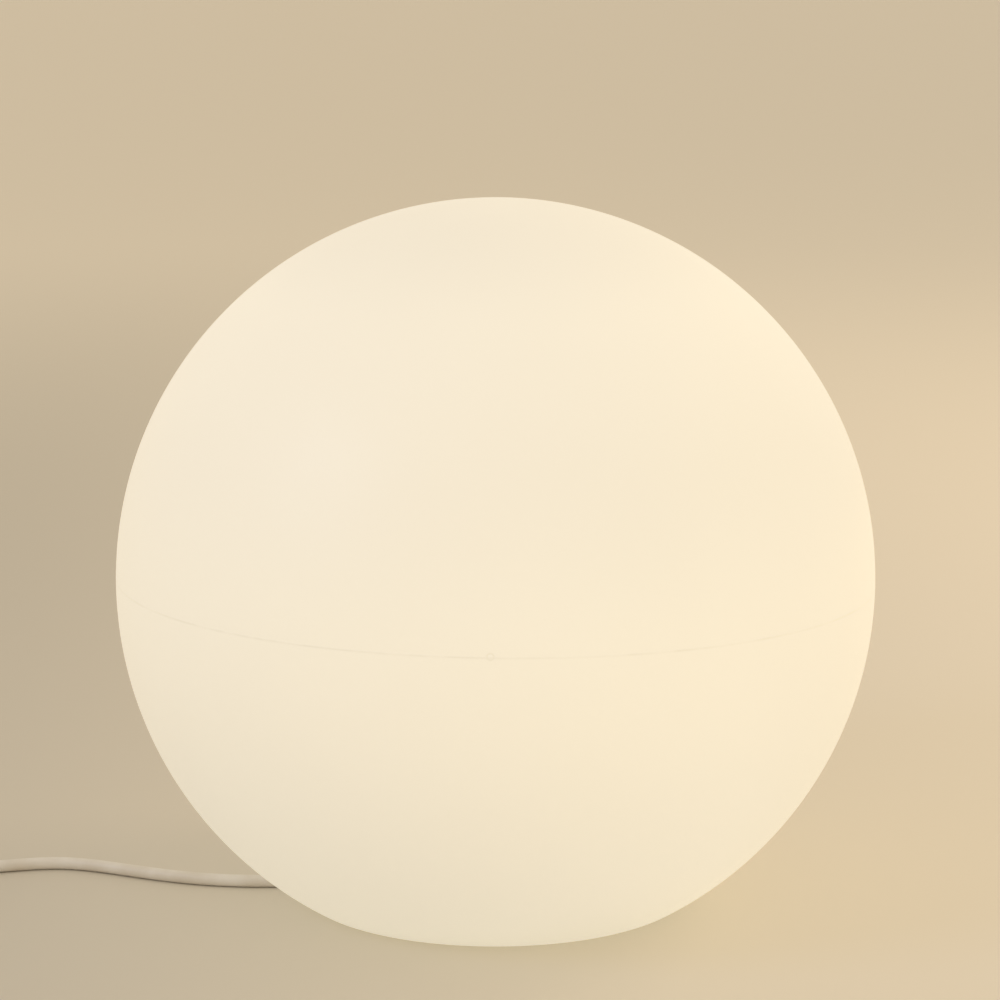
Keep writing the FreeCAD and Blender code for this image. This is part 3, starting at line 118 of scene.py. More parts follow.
class GlobeFittingSettings(bpy.types.PropertyGroup):
    """Sizes of the small fittings."""
    screw_count: whole("Cover screws", "Number of screws that hold the wiring cover", 4, 3, 12)
    screw_circle: length("Screw circle", "Radius of the circle that the cover screws stand on", 50 * MM)
    screw_seat: length("Screw seat", "Height of the underside of the screws' heads", 27.5 * MM)


class GlobeStageSettings(bpy.types.PropertyGroup):
    """The floor, the lights and the camera."""
    floor: colour("Floor", "Colour of the plain floor", "F6EDDC")
    surround: colour("Surround", "Colour of the soft light from all round", "E4D7C2")
    surround_light: amount("Surround light", "Strength of the light from all round", 0.92, 0, 5)
    key_light: amount("Key light", "Power of the cool soft light at the upper left", 18, 0, 500, "POWER")
    side_light: amount("Side light", "Power of the warm soft light on the right", 44, 0, 500, "POWER")
    lens: amount("Lens", "Focal length on a 36 mm sensor", 108.468, 20, 300, "CAMERA")


SETTINGS = {
    "globe_shell_settings": GlobeShellSettings,
    "globe_cord_settings": GlobeCordSettings,
    "globe_fitting_settings": GlobeFittingSettings,
    "globe_stage_settings": GlobeStageSettings,
}


# ---- nodes and meshes

MATH = "ShaderNodeMath"
VECTOR_MATH = "ShaderNodeVectorMath"
MAP_RANGE = "ShaderNodeMapRange"
NOISE = "ShaderNodeTexNoise"
MIX = "ShaderNodeMix"
EASED = {"interpolation_type": "SMOOTHSTEP"}
# the span of a noise that a Map Range stretches: the noise seldom leaves it
NOISE_SPAN = (0.3, 0.7)
# points that are closer than this are one
WELD = 1e-6


def new_node(tree, kind, inputs=(), **settings):
    """A node with its settings. Its inputs are values, sockets, or nodes whose output they take."""
    node = tree.nodes.new(kind)
    for key, value in settings.items():
        setattr(node, key, value)
    for key, value in inputs.items() if isinstance(inputs, dict) else enumerate(inputs):
        if isinstance(value, bpy.types.Node):
            value = next(socket for socket in value.outputs if socket.enabled)
        if isinstance(value, bpy.types.NodeSocket):
            tree.links.new(value, node.inputs[key])
        else:
            node.inputs[key].default_value = value
    return node


def placed(name, mesh):
    """A new object for a mesh whose place is in its vertices."""
    obj = bpy.data.objects.new(name, mesh)
    bpy.context.scene.collection.objects.link(obj)
    return obj


def solid(name, shape, smooth_below=35):
    """An object of a bmesh: welded, facing outwards, and smooth where it bends less than an angle."""
    bmesh.ops.remove_doubles(shape, verts=shape.verts, dist=WELD)
    bmesh.ops.recalc_face_normals(shape, faces=shape.faces)
    if shape.calc_volume(signed=True) < 0:
        bmesh.ops.reverse_faces(shape, faces=shape.faces)
    mesh = bpy.data.meshes.new(name)
    shape.to_mesh(mesh)
    shape.free()
    shaded(mesh, smooth_below)
    return placed(name, mesh)


def copied(mesh):
    """A bmesh of a mesh."""
    shape = bmesh.new()
    shape.from_mesh(mesh)
    return shape


def shaded(mesh, smooth_below):
    """Smooth shading with sharp edges above an angle."""
    mesh.shade_smooth()
    mesh.set_sharp_from_angle(angle=radians(smooth_below))


def skin(rings, shape=None):
    """A bmesh with a closed skin over rings of equally many points, with flat ends."""
    shape = shape or bmesh.new()
    rows = [[shape.verts.new(place) for place in ring] for ring in rings]
    for here, there in zip(rows, rows[1:]):
        for step in range(len(here)):
            after = (step + 1) % len(here)
            shape.faces.new((here[step], here[after], there[after], there[step]))
    shape.faces.new(rows[0][::-1])
    shape.faces.new(rows[-1])
    return shape


def drawn_out(outline, way):
    """A bmesh of a flat outline, drawn out along a way."""
    shape = bmesh.new()
    start = shape.faces.new([shape.verts.new(place) for place in outline])
    moved = bmesh.ops.extrude_face_region(shape, geom=[start])["geom"]
    corners = [part for part in moved if isinstance(part, bmesh.types.BMVert)]
    bmesh.ops.translate(shape, verts=corners, vec=way)
    return shape


def prism(outline, low, high):
    """A bmesh of an outline in X and Z, drawn out along Y."""
    return drawn_out([(x, low, z) for x, z in outline], (0, high - low, 0))


def sector(inner, outer, low, high, width, middle, steps):
    """A bmesh of part of a flat ring, width and middle in degrees."""
    angles = [radians(middle - width / 2 + width * step / steps) for step in range(steps + 1)]
    rim = [(outer * cos(a), outer * sin(a), low) for a in angles]
    bore = [(inner * cos(a), inner * sin(a), low) for a in reversed(angles)]
    return drawn_out(rim + bore, (0, 0, high - low))


def round_ring(radius, count=48):
    """Points of a circle."""
    return [(radius * cos(2 * pi * n / count), radius * sin(2 * pi * n / count))
            for n in range(count)]


def rounded(corners, steps=6):
    """An outline whose corners are rounded: each corner is (radius, height, rounding)."""
    outline = []
    for number, (x, z, rounding) in enumerate(corners):
        corner = Vector((x, z))
        if rounding == 0:
            outline.append(corner)
            continue
        before = Vector(corners[number - 1][:2]) - corner
        after = Vector(corners[(number + 1) % len(corners)][:2]) - corner
        half = before.angle(after) / 2
        reach = min(rounding / tan(half), before.length * 0.49, after.length * 0.49)
        start = corner + before.normalized() * reach
        end = corner + after.normalized() * reach
        centre = corner + (before.normalized() + after.normalized()).normalized() * (reach / cos(half))
        first, last = start - centre, end - centre
        outline += [centre + first.slerp(last, step / steps) * first.length for step in range(steps + 1)]
    return outline


def with_modifiers_applied(obj):
    """Make what an object's modifiers give its own plain mesh."""
    bpy.context.view_layer.update()
    evaluated = obj.evaluated_get(bpy.context.evaluated_depsgraph_get())
    mesh = bpy.data.meshes.new_from_object(evaluated)
    obj.modifiers.clear()
    obj.data = mesh
    return obj


def joined_solidly(obj, operation, shape):
    """Join a solid to an object, or cut it out."""
    tool = solid("tool", shape)
    modifier = obj.modifiers.new("Tool", "BOOLEAN")
    modifier.operation = operation
    modifier.solver = "EXACT"
    modifier.object = tool
    with_modifiers_applied(obj)
    bpy.data.objects.remove(tool)


def group_of_nodes(name, taken, sizes, given_back):
    """A group of geometry nodes: it, a way to add nodes, its inputs and how a modifier calls them."""
    tree = bpy.data.node_groups.new(name, "GeometryNodeTree")
    face = tree.interface
    face.new_socket(taken, in_out="INPUT", socket_type="NodeSocketGeometry")
    names = {size: face.new_socket(size, in_out="INPUT", socket_type="NodeSocket" + kind).identifier
             for size, kind in sizes.items()}
    face.new_socket(given_back, in_out="OUTPUT", socket_type="NodeSocketGeometry")
    return tree, partial(new_node, tree), new_node(tree, "NodeGroupInput").outputs, names


def end_of_group(add, geometry, finish):
    """Make a group's instances real, give them their finish and hand them out."""
    real = add("GeometryNodeRealizeInstances", (geometry,))
    dressed = add("GeometryNodeSetMaterial", {"Geometry": real, "Material": finish})
    add("NodeGroupOutput", (dressed,))


def run_group(obj, tree, names, values):
    """Run a group of geometry nodes on an object, and keep what it makes as the object's mesh."""
    modifier = obj.modifiers.new(tree.name, "NODES")
    modifier.node_group = tree
    for size, value in values.items():
        modifier[names[size]] = value
    with_modifiers_applied(obj)


def belongs(obj, slot, body, nodes, finish=None):
    """Give a piece its finish, and tie it to its body and to the CAD nodes that it stands for."""
    obj.data.materials.clear()
    obj.data.materials.append(finish or finish_of(slot))
    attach(obj, body)
    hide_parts(*nodes)
    return obj


# ---- materials

def new_finish(name):
    """A material, a way to add nodes to it, and the object's own coordinates."""
    material = bpy.data.materials.new(name)
    material.use_nodes = True
    material.node_tree.nodes.clear()
    add = partial(new_node, material.node_tree)
    return material, add, add("ShaderNodeTexCoord").outputs["Object"]


def end_of_finish(material, inputs):
    """End a material with a surface that takes these inputs."""
    surface = new_node(material.node_tree, "ShaderNodeBsdfPrincipled", inputs)
    new_node(material.node_tree, "ShaderNodeOutputMaterial", (surface,))
    return material


def moulded(name, light, dark, roughness, patch_mm, grain_mm, grain_depth_mm, sockets, stretch=None):
    """A finish whose colour drifts over patches, with a fine grain and an uneven gloss."""
    material, add, place = new_finish(name)
    if stretch:
        place = add("ShaderNodeMapping", {"Vector": place, "Scale": stretch})
    patches = add(NOISE, {"Vector": place, "Scale": 1 / (patch_mm * MM), "Detail": 3.0})
    grain = add(NOISE, {"Vector": place, "Scale": 1 / (grain_mm * MM)})
    share = add(MAP_RANGE, (patches, *NOISE_SPAN, 0, 1))
    return end_of_finish(material, {
        "Base Color": add(MIX, {0: share, 6: linear(dark), 7: linear(light)}, data_type="RGBA"),
        "Roughness": add(MAP_RANGE, (patches, *NOISE_SPAN, roughness * 0.9, roughness * 1.12)),
        "Normal": add("ShaderNodeBump", {
            "Height": grain, "Distance": grain_depth_mm * MM}),
        **sockets})


# how much light the parting line, the vent mark and the pinholes take away
HAIRLINE_DARK, RING_DARK, PINHOLE_DARK = 0.075, 0.09, 0.2
# the vent mark: across and up from the ball's middle, and its ring's radius
VENT_ACROSS, VENT_UP, VENT_RADIUS = -2.2 * MM, 2.2 * MM, 1.6 * MM
VENT_FROM_FRONT = 2.6 * MM
PINHOLE_CELL = 80 * MM
# depth of the orange peel, and how many times as deep the wall's slow waves and its marks are
PEEL_DEPTH, SLOW_WAVES, MARK_DEPTH = 0.012 * MM, 4, 20


def opal_polyethylene(sizes, centre):
    """Polyethylene, rotomoulded and lit from inside: it glows softly, less towards the foot where the lamp shines
    past it, with the faint mottling of an uneven wall, a hair-fine darker parting line with a round vent mark on
    it, and a few pinholes. Its glow is also dimmed towards the left side and the right edge, which is painted
    shade. The skin is satin with a slight orange peel."""
    material, add, place = new_finish("opal_polyethylene_rotomoulded")
    from_centre = add(VECTOR_MATH, (place, (0, 0, centre)), operation="SUBTRACT")
    parts = add("ShaderNodeSeparateXYZ", (from_centre,)).outputs
    height = add(MATH, (parts["Z"], sizes.radius), operation="DIVIDE")
    across = add(MATH, (parts["X"], sizes.radius), operation="DIVIDE")

    # light through the wall: even above, weaker near the foot and at the crown; darker towards the left side and
    # the right edge, which is painted shade
    ramp = add("ShaderNodeValToRGB", (add(MATH, (height, 0.5, 0.5), operation="MULTIPLY_ADD"),))
    ramp.color_ramp.interpolation = "EASE"
    stops = ramp.color_ramp.elements
    stops[0].position, stops[0].color = 0.1, sizes.glow_foot
    stops[1].position, stops[1].color = 0.72, sizes.glow_top
    middle = stops.new(0.5)
    middle.color = sizes.glow_middle
    # painted shade: the glow is dimmed towards the left side and towards the right edge
    left = add(MAP_RANGE, (across, -1.0, 0.6, 0.91, 1.0), **EASED)
    right = add(MAP_RANGE, (across, 0.5, 1.05, 1.0, 0.88), **EASED)
    side = add(MATH, (left, right), operation="MULTIPLY")
    crown = add(MAP_RANGE, (height, 0.72, 1.0, 1.0, 0.84), **EASED)
    mottling = add(NOISE, {"Vector": place, "Scale": 1 / (70 * MM), "Detail": 3.0})
    wall = add(MAP_RANGE, (mottling, *NOISE_SPAN, 0.992, 1.006))

    # parting line, with its strength coming and going along its length
    normal = (sin(sizes.seam_tilt), 0, cos(sizes.seam_tilt))
    along_normal = add(VECTOR_MATH, (from_centre, normal), operation="DOT_PRODUCT")
    over_seam = add(MATH, (along_normal, sizes.seam_rise), operation="SUBTRACT")
    from_seam = add(MATH, (over_seam,), operation="ABSOLUTE")
    stretches = add(NOISE, {"Vector": place, "Scale": 1 / (14 * MM)})
    presence = add(MAP_RANGE, (stretches, 0.38, 0.62, 0.35, 1.0), **EASED)
    line = add(MAP_RANGE, (from_seam, 0.2 * MM, 0.6 * MM, HAIRLINE_DARK, 0), **EASED)
    hairline = add(MATH, (line, presence), operation="MULTIPLY")

    # round vent mark on the parting line, 3 mm across, at the front
    mark = Vector((VENT_ACROSS, -sqrt(sizes.radius ** 2 - VENT_FROM_FRONT ** 2), VENT_UP))
    from_mark = add(VECTOR_MATH, (from_centre, mark), operation="DISTANCE")
    off_ring = add(MATH, (from_mark, VENT_RADIUS), operation="SUBTRACT")
    from_ring = add(MATH, (off_ring,), operation="ABSOLUTE")
    ring = add(MAP_RANGE, (from_ring, 0.15 * MM, 0.55 * MM, RING_DARK, 0), **EASED)

    # pinholes: one small point in each cell, darker in some places than in others
    cells = add("ShaderNodeTexVoronoi", {"Vector": place, "Scale": 1 / PINHOLE_CELL})
    from_point = add(MATH, (cells, PINHOLE_CELL), operation="MULTIPLY")
    points = add(MAP_RANGE, (from_point, 0.4 * MM, 0.9 * MM, PINHOLE_DARK, 0), **EASED)
    places = add(NOISE, {"Vector": place, "Scale": 1 / (50 * MM), "Detail": 1.0})
    shown = add(MAP_RANGE, (places, 0.4, 0.65, 0.0, 1.0), **EASED)
    pinholes = add(MATH, (points, shown), operation="MULTIPLY")

    darker = add(MATH, (ring, pinholes), operation="MAXIMUM")
    marks = add(MATH, (hairline, darker), operation="MAXIMUM")
    unmarked = add(MATH, (1.0, marks), operation="SUBTRACT")
    # the glow with its painted side shade and its dimmer crown
    lit = add(MATH, (side, crown), operation="MULTIPLY")
    spread = add(MATH, (lit, wall), operation="MULTIPLY")
    shade = add(MATH, (spread, unmarked), operation="MULTIPLY")

    # orange peel of 2.5 mm, drawn coarser than the real 1 mm so that it shows
    peel = add(NOISE, {"Vector": place, "Scale": 1 / (2.5 * MM)})
    slow = add(NOISE, {"Vector": place, "Scale": 1 / (28 * MM), "Detail": 1.0})
    waves = add(MATH, (slow, SLOW_WAVES, peel), operation="MULTIPLY_ADD")
    relief = add(MATH, (marks, -MARK_DEPTH, waves), operation="MULTIPLY_ADD")
    gloss = add(NOISE, {"Vector": place, "Scale": 1 / (45 * MM)})
    return end_of_finish(material, {
        "Base Color": add(VECTOR_MATH, {0: tuple(sizes.plastic)[:3], "Scale": unmarked}, operation="SCALE"),
        "Roughness": add(MAP_RANGE, (gloss, *NOISE_SPAN, 0.40, 0.47)),
        "IOR": 1.51,
        "Normal": add("ShaderNodeBump", {"Height": relief, "Distance": PEEL_DEPTH}),
        "Emission Color": add(VECTOR_MATH, {0: ramp, "Scale": shade}, operation="SCALE"),
        "Emission Strength": sizes.glow})


def extruded_pvc(sheath):
    """Soft PVC, extruded: a light warm grey sheath, smooth and slightly glossy, with faint draw lines
    along it and the dust that a cord picks up on the floor."""
    material, add, place = new_finish("pvc_cord_sheath_extruded")
    dust = add(NOISE, {"Vector": place, "Scale": 1 / (18 * MM), "Detail": 4.0})
    share = add(MAP_RANGE, (dust, *NOISE_SPAN, 0.0, 0.55))
    along = add("ShaderNodeMapping", {"Vector": place, "Scale": (0.25, 1, 1)})
    lines = add(NOISE, {"Vector": along, "Scale": 1 / (1.1 * MM), "Detail": 1.0})
    return end_of_finish(material, {
        "Base Color": add(MIX, {0: share, 6: tuple(sheath), 7: linear("E4DDD2")},
                          data_type="RGBA", blend_type="MULTIPLY"),
        "Roughness": add(MAP_RANGE, (dust, *NOISE_SPAN, 0.34, 0.46)),
        "IOR": 1.53,
        "Normal": add("ShaderNodeBump", {"Height": lines, "Distance": 0.02 * MM})})


def floor_paint_with_painted_shade(tone):
    """Emulsion paint on a flat board, rolled: matt. Near the globe it is darker to the left and lighter to the
    right, painted shade and light that even out to one slightly darker tone further away.
    """
    material, add, place = new_finish("emulsion_paint_with_painted_shade")
    across = add("ShaderNodeSeparateXYZ", (place,))
    # painted shade: near the globe the floor is darkened towards the left, and further away evenly by a quarter
    side = add(MAP_RANGE, (across, 0.5, -0.55, 0.0, 1.0), **EASED)
    away = add(VECTOR_MATH, (place,), operation="LENGTH")
    near = add(MAP_RANGE, (away, 0.8, 4.0, 1.0, 0.0), **EASED)
    painted_shade_share = add(MIX, {0: near, 2: 0.25, 3: side}, data_type="FLOAT")
    return end_of_finish(material, {
        "Base Color": add(MIX, {0: painted_shade_share, 6: tuple(tone), 7: linear("D4D6D8")},
                          data_type="RGBA", blend_type="MULTIPLY"),
        "Roughness": 0.6})


# name, light and dark colour, roughness, patches mm, grain mm, depth of grain mm, sockets, stretch
RECIPES = {
    # polypropylene, injection moulded: satin white with a fine eroded grain
    "white_plastic": ("polypropylene_moulded", "ECEAE3", "E7E4DB", 0.42, 30, 0.5, 0.02, {"IOR": 1.49}),
    # glass-filled nylon, injection moulded: matt mid grey with a coarser grain
    "grey_plastic": ("glass_filled_nylon_moulded", "9A9B98", "929390", 0.5, 12, 0.6, 0.035, {"IOR": 1.53}),
    # EPDM rubber, die cut: dull near-black with a dusty bloom
    "seal_rubber": ("epdm_rubber_cut", "343433", "232323", 0.72, 6, 0.4, 0.03, {"IOR": 1.52}),
    # steel, zinc plated and passivated: bluish bright metal with cloudy patches
    "zinc_steel": ("steel_zinc_plated", "C3C8CB", "A9AEB4", 0.3, 2.5, 0.25, 0.006, {"Metallic": 1.0}),
    # polyamide, moulded in its natural colour: waxy ivory
    "terminal_plastic": ("polyamide_natural_moulded", "E3DCC6", "DED6C0", 0.4, 8, 0.5, 0.015, {"IOR": 1.53}),
    # PVC wire insulation, extruded: smooth and slightly glossy
    "brown_wire": ("pvc_insulation_brown", "6B4227", "5A3620", 0.36, 4, 0.6, 0.01, {"IOR": 1.53}, (0.3, 1, 1)),
    "blue_wire": ("pvc_insulation_blue", "2E5FA3", "264F8B", 0.36, 4, 0.6, 0.01, {"IOR": 1.53}, (0.3, 1, 1)),
    # steatite, pressed, glazed and fired: off-white with a thin glossy glaze
    "ceramic": ("steatite_glazed", "F1EEE6", "E5E0D4", 0.28, 7, 0.9, 0.02,
                {"IOR": 1.56, "Coat Weight": 0.7, "Coat Roughness": 0.08}),
    # brass, stamped and rolled: warm metal with rolling lines and slight tarnish
    "brass": ("brass_stamped", "D9B45F", "B8923F", 0.27, 3, 0.3, 0.008, {"Metallic": 1.0}, (1, 1, 0.2)),
    # tin solder, dipped: dull grey blob with a frosty skin
    "solder": ("tin_solder_dipped", "BFC0BE", "9C9D9B", 0.38, 1.5, 0.5, 0.05, {"Metallic": 1.0}),
    # black glass of a lamp cap, cast: deep and glossy
    "cap_insulator": ("vitrite_black_glass", "17151A", "0E0D10", 0.14, 5, 1.2, 0.02, {"IOR": 1.52}),
    # aluminium cap, deep drawn, thread rolled and nickel plated: soft silver with drawing lines
    "cap_metal": ("aluminium_cap_nickel_plated", "D2CEC6", "B9B5AC", 0.24, 5, 0.35, 0.006, {"Metallic": 1.0},
                  (0.2, 0.2, 1)),
    # PBT, injection moulded: clean cool white, low gloss
    "lamp_white": ("pbt_lamp_body_moulded", "EFF0EE", "EAEBE9", 0.4, 16, 0.6, 0.02, {"IOR": 1.55}),
    # polycarbonate, blow moulded and frosted inside: milky, and bright while the lamp is on
    "lamp_diffuser": ("polycarbonate_frosted", "F6F1E6", "EFE9DC", 0.34, 20, 0.8, 0.02,
                      {"IOR": 1.58, "Emission Color": linear("FFE9C4"), "Emission Strength": 1.6}),
    # aluminium core board under white solder mask: even, faintly wavy
    "board_aluminium": ("aluminium_board_white_mask", "E9EBE6", "D8DBD5", 0.33, 5, 0.8, 0.015, {"IOR": 1.5}),
    # silicone with phosphor over a chip: saturated yellow, wet looking
    "led_yellow": ("silicone_phosphor_cast", "F0C63A", "E0AE24", 0.2, 1.2, 0.6, 0.02,
                   {"IOR": 1.41, "Coat Weight": 0.6, "Coat Roughness": 0.06}),
    # epoxy glass board under green mask: the cloth shows as a fine weave
    "board_green": ("epoxy_glass_board_green", "1F6B3C", "17552F", 0.34, 3, 0.5, 0.02, {"IOR": 1.55}),
    # capacitor sleeve, shrunk PVC: tight, dark and shiny
    "capacitor_black": ("pvc_shrink_sleeve", "22242B", "17181D", 0.25, 3, 0.9, 0.02, {"IOR": 1.53}),
    # soft PVC, moulded over the plug: satin light grey
    "plug_plastic": ("pvc_plug_moulded", "E4DFD7", "DDD6CC", 0.44, 14, 0.5, 0.02, {"IOR": 1.53}),
    # brass pins, turned and nickel plated: bright with fine turning lines
    "nickel": ("brass_pin_nickel_plated", "CFCBC2", "B7B3AA", 0.18, 4, 0.25, 0.004, {"Metallic": 1.0}, (1, 1, 6)),
}


def finish_of(slot):
    """The finish of one of the record's slots, built the first time that it is asked for."""
    if slot == "cord_grey":
        sheath = bpy.context.scene.globe_cord_settings.sheath
        return bpy.data.materials.get("pvc_cord_sheath_extruded") or extruded_pvc(sheath)
    if slot not in RECIPES:
        raise RuntimeError("no finish for the slot " + slot)
    return bpy.data.materials.get(RECIPES[slot][0]) or moulded(*RECIPES[slot])


# ---- floor, lights and camera

CAMERA_PLACE = (2.3 * MM, -1.5678, 0.4903)
CAMERA_DIP = 10.07
FLOOR_REACH, FLOOR_SIDES = 50.0, 96
# each lantern's radius, tint and place
KEY_LANTERN = (0.45, "BFD4FF", (-1.6, -1.0, 1.35))
SIDE_LANTERN = (0.7, "FFE6C4", (2.1, 1.3, 1.5))


class GLOBE_LIGHT_OT_stage(bpy.types.Operator):
    """Lay the plain floor and set up the soft lights and the camera"""
    bl_idname = "globe_light.stage"
    bl_label = "Floor, lights and camera"

    def execute(self, context):
        sizes = context.scene.globe_stage_settings
        camera = bpy.data.objects.new("camera", bpy.data.cameras.new("camera"))
        context.scene.collection.objects.link(camera)
        camera.location = CAMERA_PLACE
        camera.rotation_euler = (radians(90 - CAMERA_DIP), 0, 0)
        camera.data.sensor_width = 36
        camera.data.lens = sizes.lens
        context.scene.camera = camera

        mesh = bpy.data.meshes.new("floor")
        rim = [(x, y, 0) for x, y in round_ring(FLOOR_REACH, FLOOR_SIDES)]
        mesh.from_pydata(rim, [], [tuple(range(FLOOR_SIDES))])
        floor = placed("floor", mesh)
        floor.data.materials.append(floor_paint_with_painted_shade(sizes.floor))

        world = bpy.data.worlds.new("surround")
        world.use_nodes = True
        background = world.node_tree.nodes["Background"]
        background.inputs["Color"].default_value = sizes.surround
        background.inputs["Strength"].default_value = sizes.surround_light
        context.scene.world = world
        context.scene.view_settings.view_transform = "Standard"

        soft_light("key_lantern", sizes.key_light, *KEY_LANTERN)
        side = soft_light("side_lantern", sizes.side_light, *SIDE_LANTERN)
        side.visible_glossy = False  # so that no bright edge clips on the globe's right side
        return {"FINISHED"}


def soft_light(name, power, radius, tint, place):
    """A large round lantern, which lights evenly and has no edge on the floor."""
    light = bpy.data.lights.new(name, "POINT")
    light.energy = power
    light.shadow_soft_size = radius
    light.color = linear(tint)[:3]
    obj = bpy.data.objects.new(name, light)
    bpy.context.scene.collection.objects.link(obj)
    obj.location = place
    return obj


# ---- cord

GLAND_MOUTH = (-64, 0, 16.5)
LEAD_ROUTE = (
    (-74, 0, 16.5), (-97, 0, 3.3), (-112, -1.4, 3.3), (-126, -2.2, 3.3), (-136, -1.8, 3.3),
    (-147, -0.6, 3.3), (-160, 1.9, 3.3), (-172, 5.6, 3.3), (-185, 10.7, 3.3), (-198, 16.4, 3.3),
    (-211, 22.6, 3.3), (-224, 27.9, 3.3), (-236, 31, 3.3), (-248, 30.9, 3.3), (-260, 28.4, 3.3),
    (-272, 24.9, 3.3), (-289, 21.9, 3.3), (-307, 21.2, 3.3), (-325, 22.6, 3.3), (-342, 25, 3.3),
)
COIL_END = (-405, -22, 25.2)
TAIL_ROUTE = ((-405, -41.5, 25.2), (-403.5, -63.5, 21.5), (-400, -85.5, 16))
PLUG_PLACE = Vector((-395.5, -115.5, 13))
PLUG_YAW = radians(10)
PLUG_WAY = Vector((sin(PLUG_YAW), -cos(PLUG_YAW), 0))
TAIL_LAST_RUN = 12

COIL_MIDDLE, COIL_FLOOR, COIL_INNER = (-356, -22), 3.3, 25
COIL_PITCH, COIL_LAYER_PITCH = 8, 7.3
# quarter turns in each layer but the last, and in the last; control points a turn
COIL_LAYERS, COIL_QUARTERS, COIL_LAST_QUARTERS, COIL_STEPS = 4, 11, 12, 12
# a spline with 12 control points a turn runs this share of their radius from the middle
SPLINE_SHARE = 0.966


def coil_points():
    """The coil's control points, 12 a turn: in on the first layer, out on the next, and so on."""
    quarters = COIL_QUARTERS * (COIL_LAYERS - 1) + COIL_LAST_QUARTERS
    points = []
    for number in range(1, quarters * COIL_STEPS // 4):
        passed = number * 4 / COIL_STEPS
        layer = min(int(passed / COIL_QUARTERS), COIL_LAYERS - 1)
        within = passed - layer * COIL_QUARTERS
        out = COIL_QUARTERS - within if layer % 2 == 0 else within
        radius = (COIL_INNER + COIL_PITCH / 4 * out) / SPLINE_SHARE
        level = COIL_LAYER_PITCH * layer
        climbed = 0.0
        if layer > 0 and within < 1:
            climbed = -eased_share(0.5 - within / 2)
        elif layer < COIL_LAYERS - 1 and within > COIL_QUARTERS - 1:
            climbed = eased_share(0.5 - (COIL_QUARTERS - within) / 2)
        angle = radians(90 + 90 * passed)
        points.append((COIL_MIDDLE[0] + radius * cos(angle), COIL_MIDDLE[1] + radius * sin(angle),
                       COIL_FLOOR + level + COIL_LAYER_PITCH * climbed))
    return points


def eased_share(share):
    """A share from 0 to 1, made slow at both ends."""
    return share * share * (3 - 2 * share)


class GLOBE_LIGHT_OT_cord(bpy.types.Operator):
    """Lay the cord from the gland along the floor, round its coil and to the plug"""
    bl_idname = "globe_light.cord"
    bl_label = "Cord"

    def execute(self, context):
        sizes = context.scene.globe_cord_settings
        route = [GLAND_MOUTH, *LEAD_ROUTE, *coil_points(), COIL_END, *TAIL_ROUTE,
                 tuple(PLUG_PLACE - PLUG_WAY * TAIL_LAST_RUN), tuple(PLUG_PLACE)]
        cord = smooth_tube("supply_cord", route, sizes.diameter / 2, steps=3)
        belongs(cord, "cord_grey", "light", ("cord_lead", "cord_coil", "cord_tail"))
        return {"FINISHED"}


# ---- plug

RELIEF_LENGTH = 30 * MM
RELIEF_MOUTH = 3.35 * MM
RELIEF_START, RELIEF_END = 5 * MM, 7.5 * MM
RELIEF_RIBS, RELIEF_GROOVE = 5, 1.2 * MM
RELIEF_STEPS = 120
PLUG_HALF = 13 * MM
# (distance, radius) along the plug, in mm, and the finest step between its rings
PLUG_PROFILE = ((30, 8.3), (31.2, 9.3), (36, 10.2), (42, 11.6), (48, 13.4), (51.2, 14.8), (52.3, 16.4),
                (53.2, 17.5), (54.4, 18.0), (64.2, 18.0), (65.4, 17.6), (66, 16.8))
PLUG_STEP = 0.6
GRIP_START, GRIP_END = 34, 50
GRIP_GROOVE, GRIP_GROOVES = 0.45, 4
PIN_BASE, PIN_RADIUS, PIN_STRAIGHT = 65.5, 2.4, 17.6
PIN_TIP_LENGTH, PIN_TIP_TAPER = 1.9, 1.6
PIN_ACROSS = 9.5 * MM


def along_plug(outline, ring):
    """Rings of points along the plug: outline gives (distance, radius), ring shapes each."""
    turn = Matrix.Rotation(PLUG_YAW, 3, "Z") @ Matrix.Rotation(pi / 2, 3, "X")
    start = PLUG_PLACE * MM
    return [[start + turn @ Vector((x, y, distance)) for x, y in ring(radius)] for distance, radius in outline]


def flat_sided_ring(radius, count=72, limit=PLUG_HALF):
    """Points of a circle whose top and bottom are pressed flat, with soft corners."""
    points = []
    for x, y in round_ring(radius, count):
        if radius > limit:
            share = abs(y) / limit
            y = copysign(limit * share / (1 + share ** 12) ** (1 / 12), y)
        points.append((x, y))
    return points


def relief_outline():
    """(distance, radius) along the strain relief: soft ribs that grow towards the plug."""
    outline = [(0, RELIEF_MOUTH)]
    for step in range(RELIEF_STEPS + 1):
        share = step / RELIEF_STEPS
        radius = RELIEF_START + (RELIEF_END - RELIEF_START) * share
        phase = (share * (2 * RELIEF_RIBS - 1)) % 2
        dip = eased_share(max(0.0, min(1.0, (0.5 - abs(phase - 1.5)) * 5)))
        edge = min(1.0, share * 22)
        outline.append((share * RELIEF_LENGTH, (radius - RELIEF_GROOVE * dip) * (0.86 + 0.14 * edge)))
    return outline


def plug_outline():
    """(distance, radius) along the plug: a waisted grip that flares to the round face."""
    fine = []
    for (start, low), (end, high) in zip(PLUG_PROFILE, PLUG_PROFILE[1:]):
        pieces = max(1, round((end - start) / PLUG_STEP))
        for piece in range(pieces):
            share = piece / pieces
            distance = start + (end - start) * share
            radius = low + (high - low) * share
            if GRIP_START < distance < GRIP_END:
                along = (distance - GRIP_START) / (GRIP_END - GRIP_START)
                radius -= GRIP_GROOVE * max(0.0, sin(along * 2 * pi * GRIP_GROOVES)) ** 2
            fine.append((distance * MM, radius * MM))
    fine.append(tuple(size * MM for size in PLUG_PROFILE[-1]))
    return fine


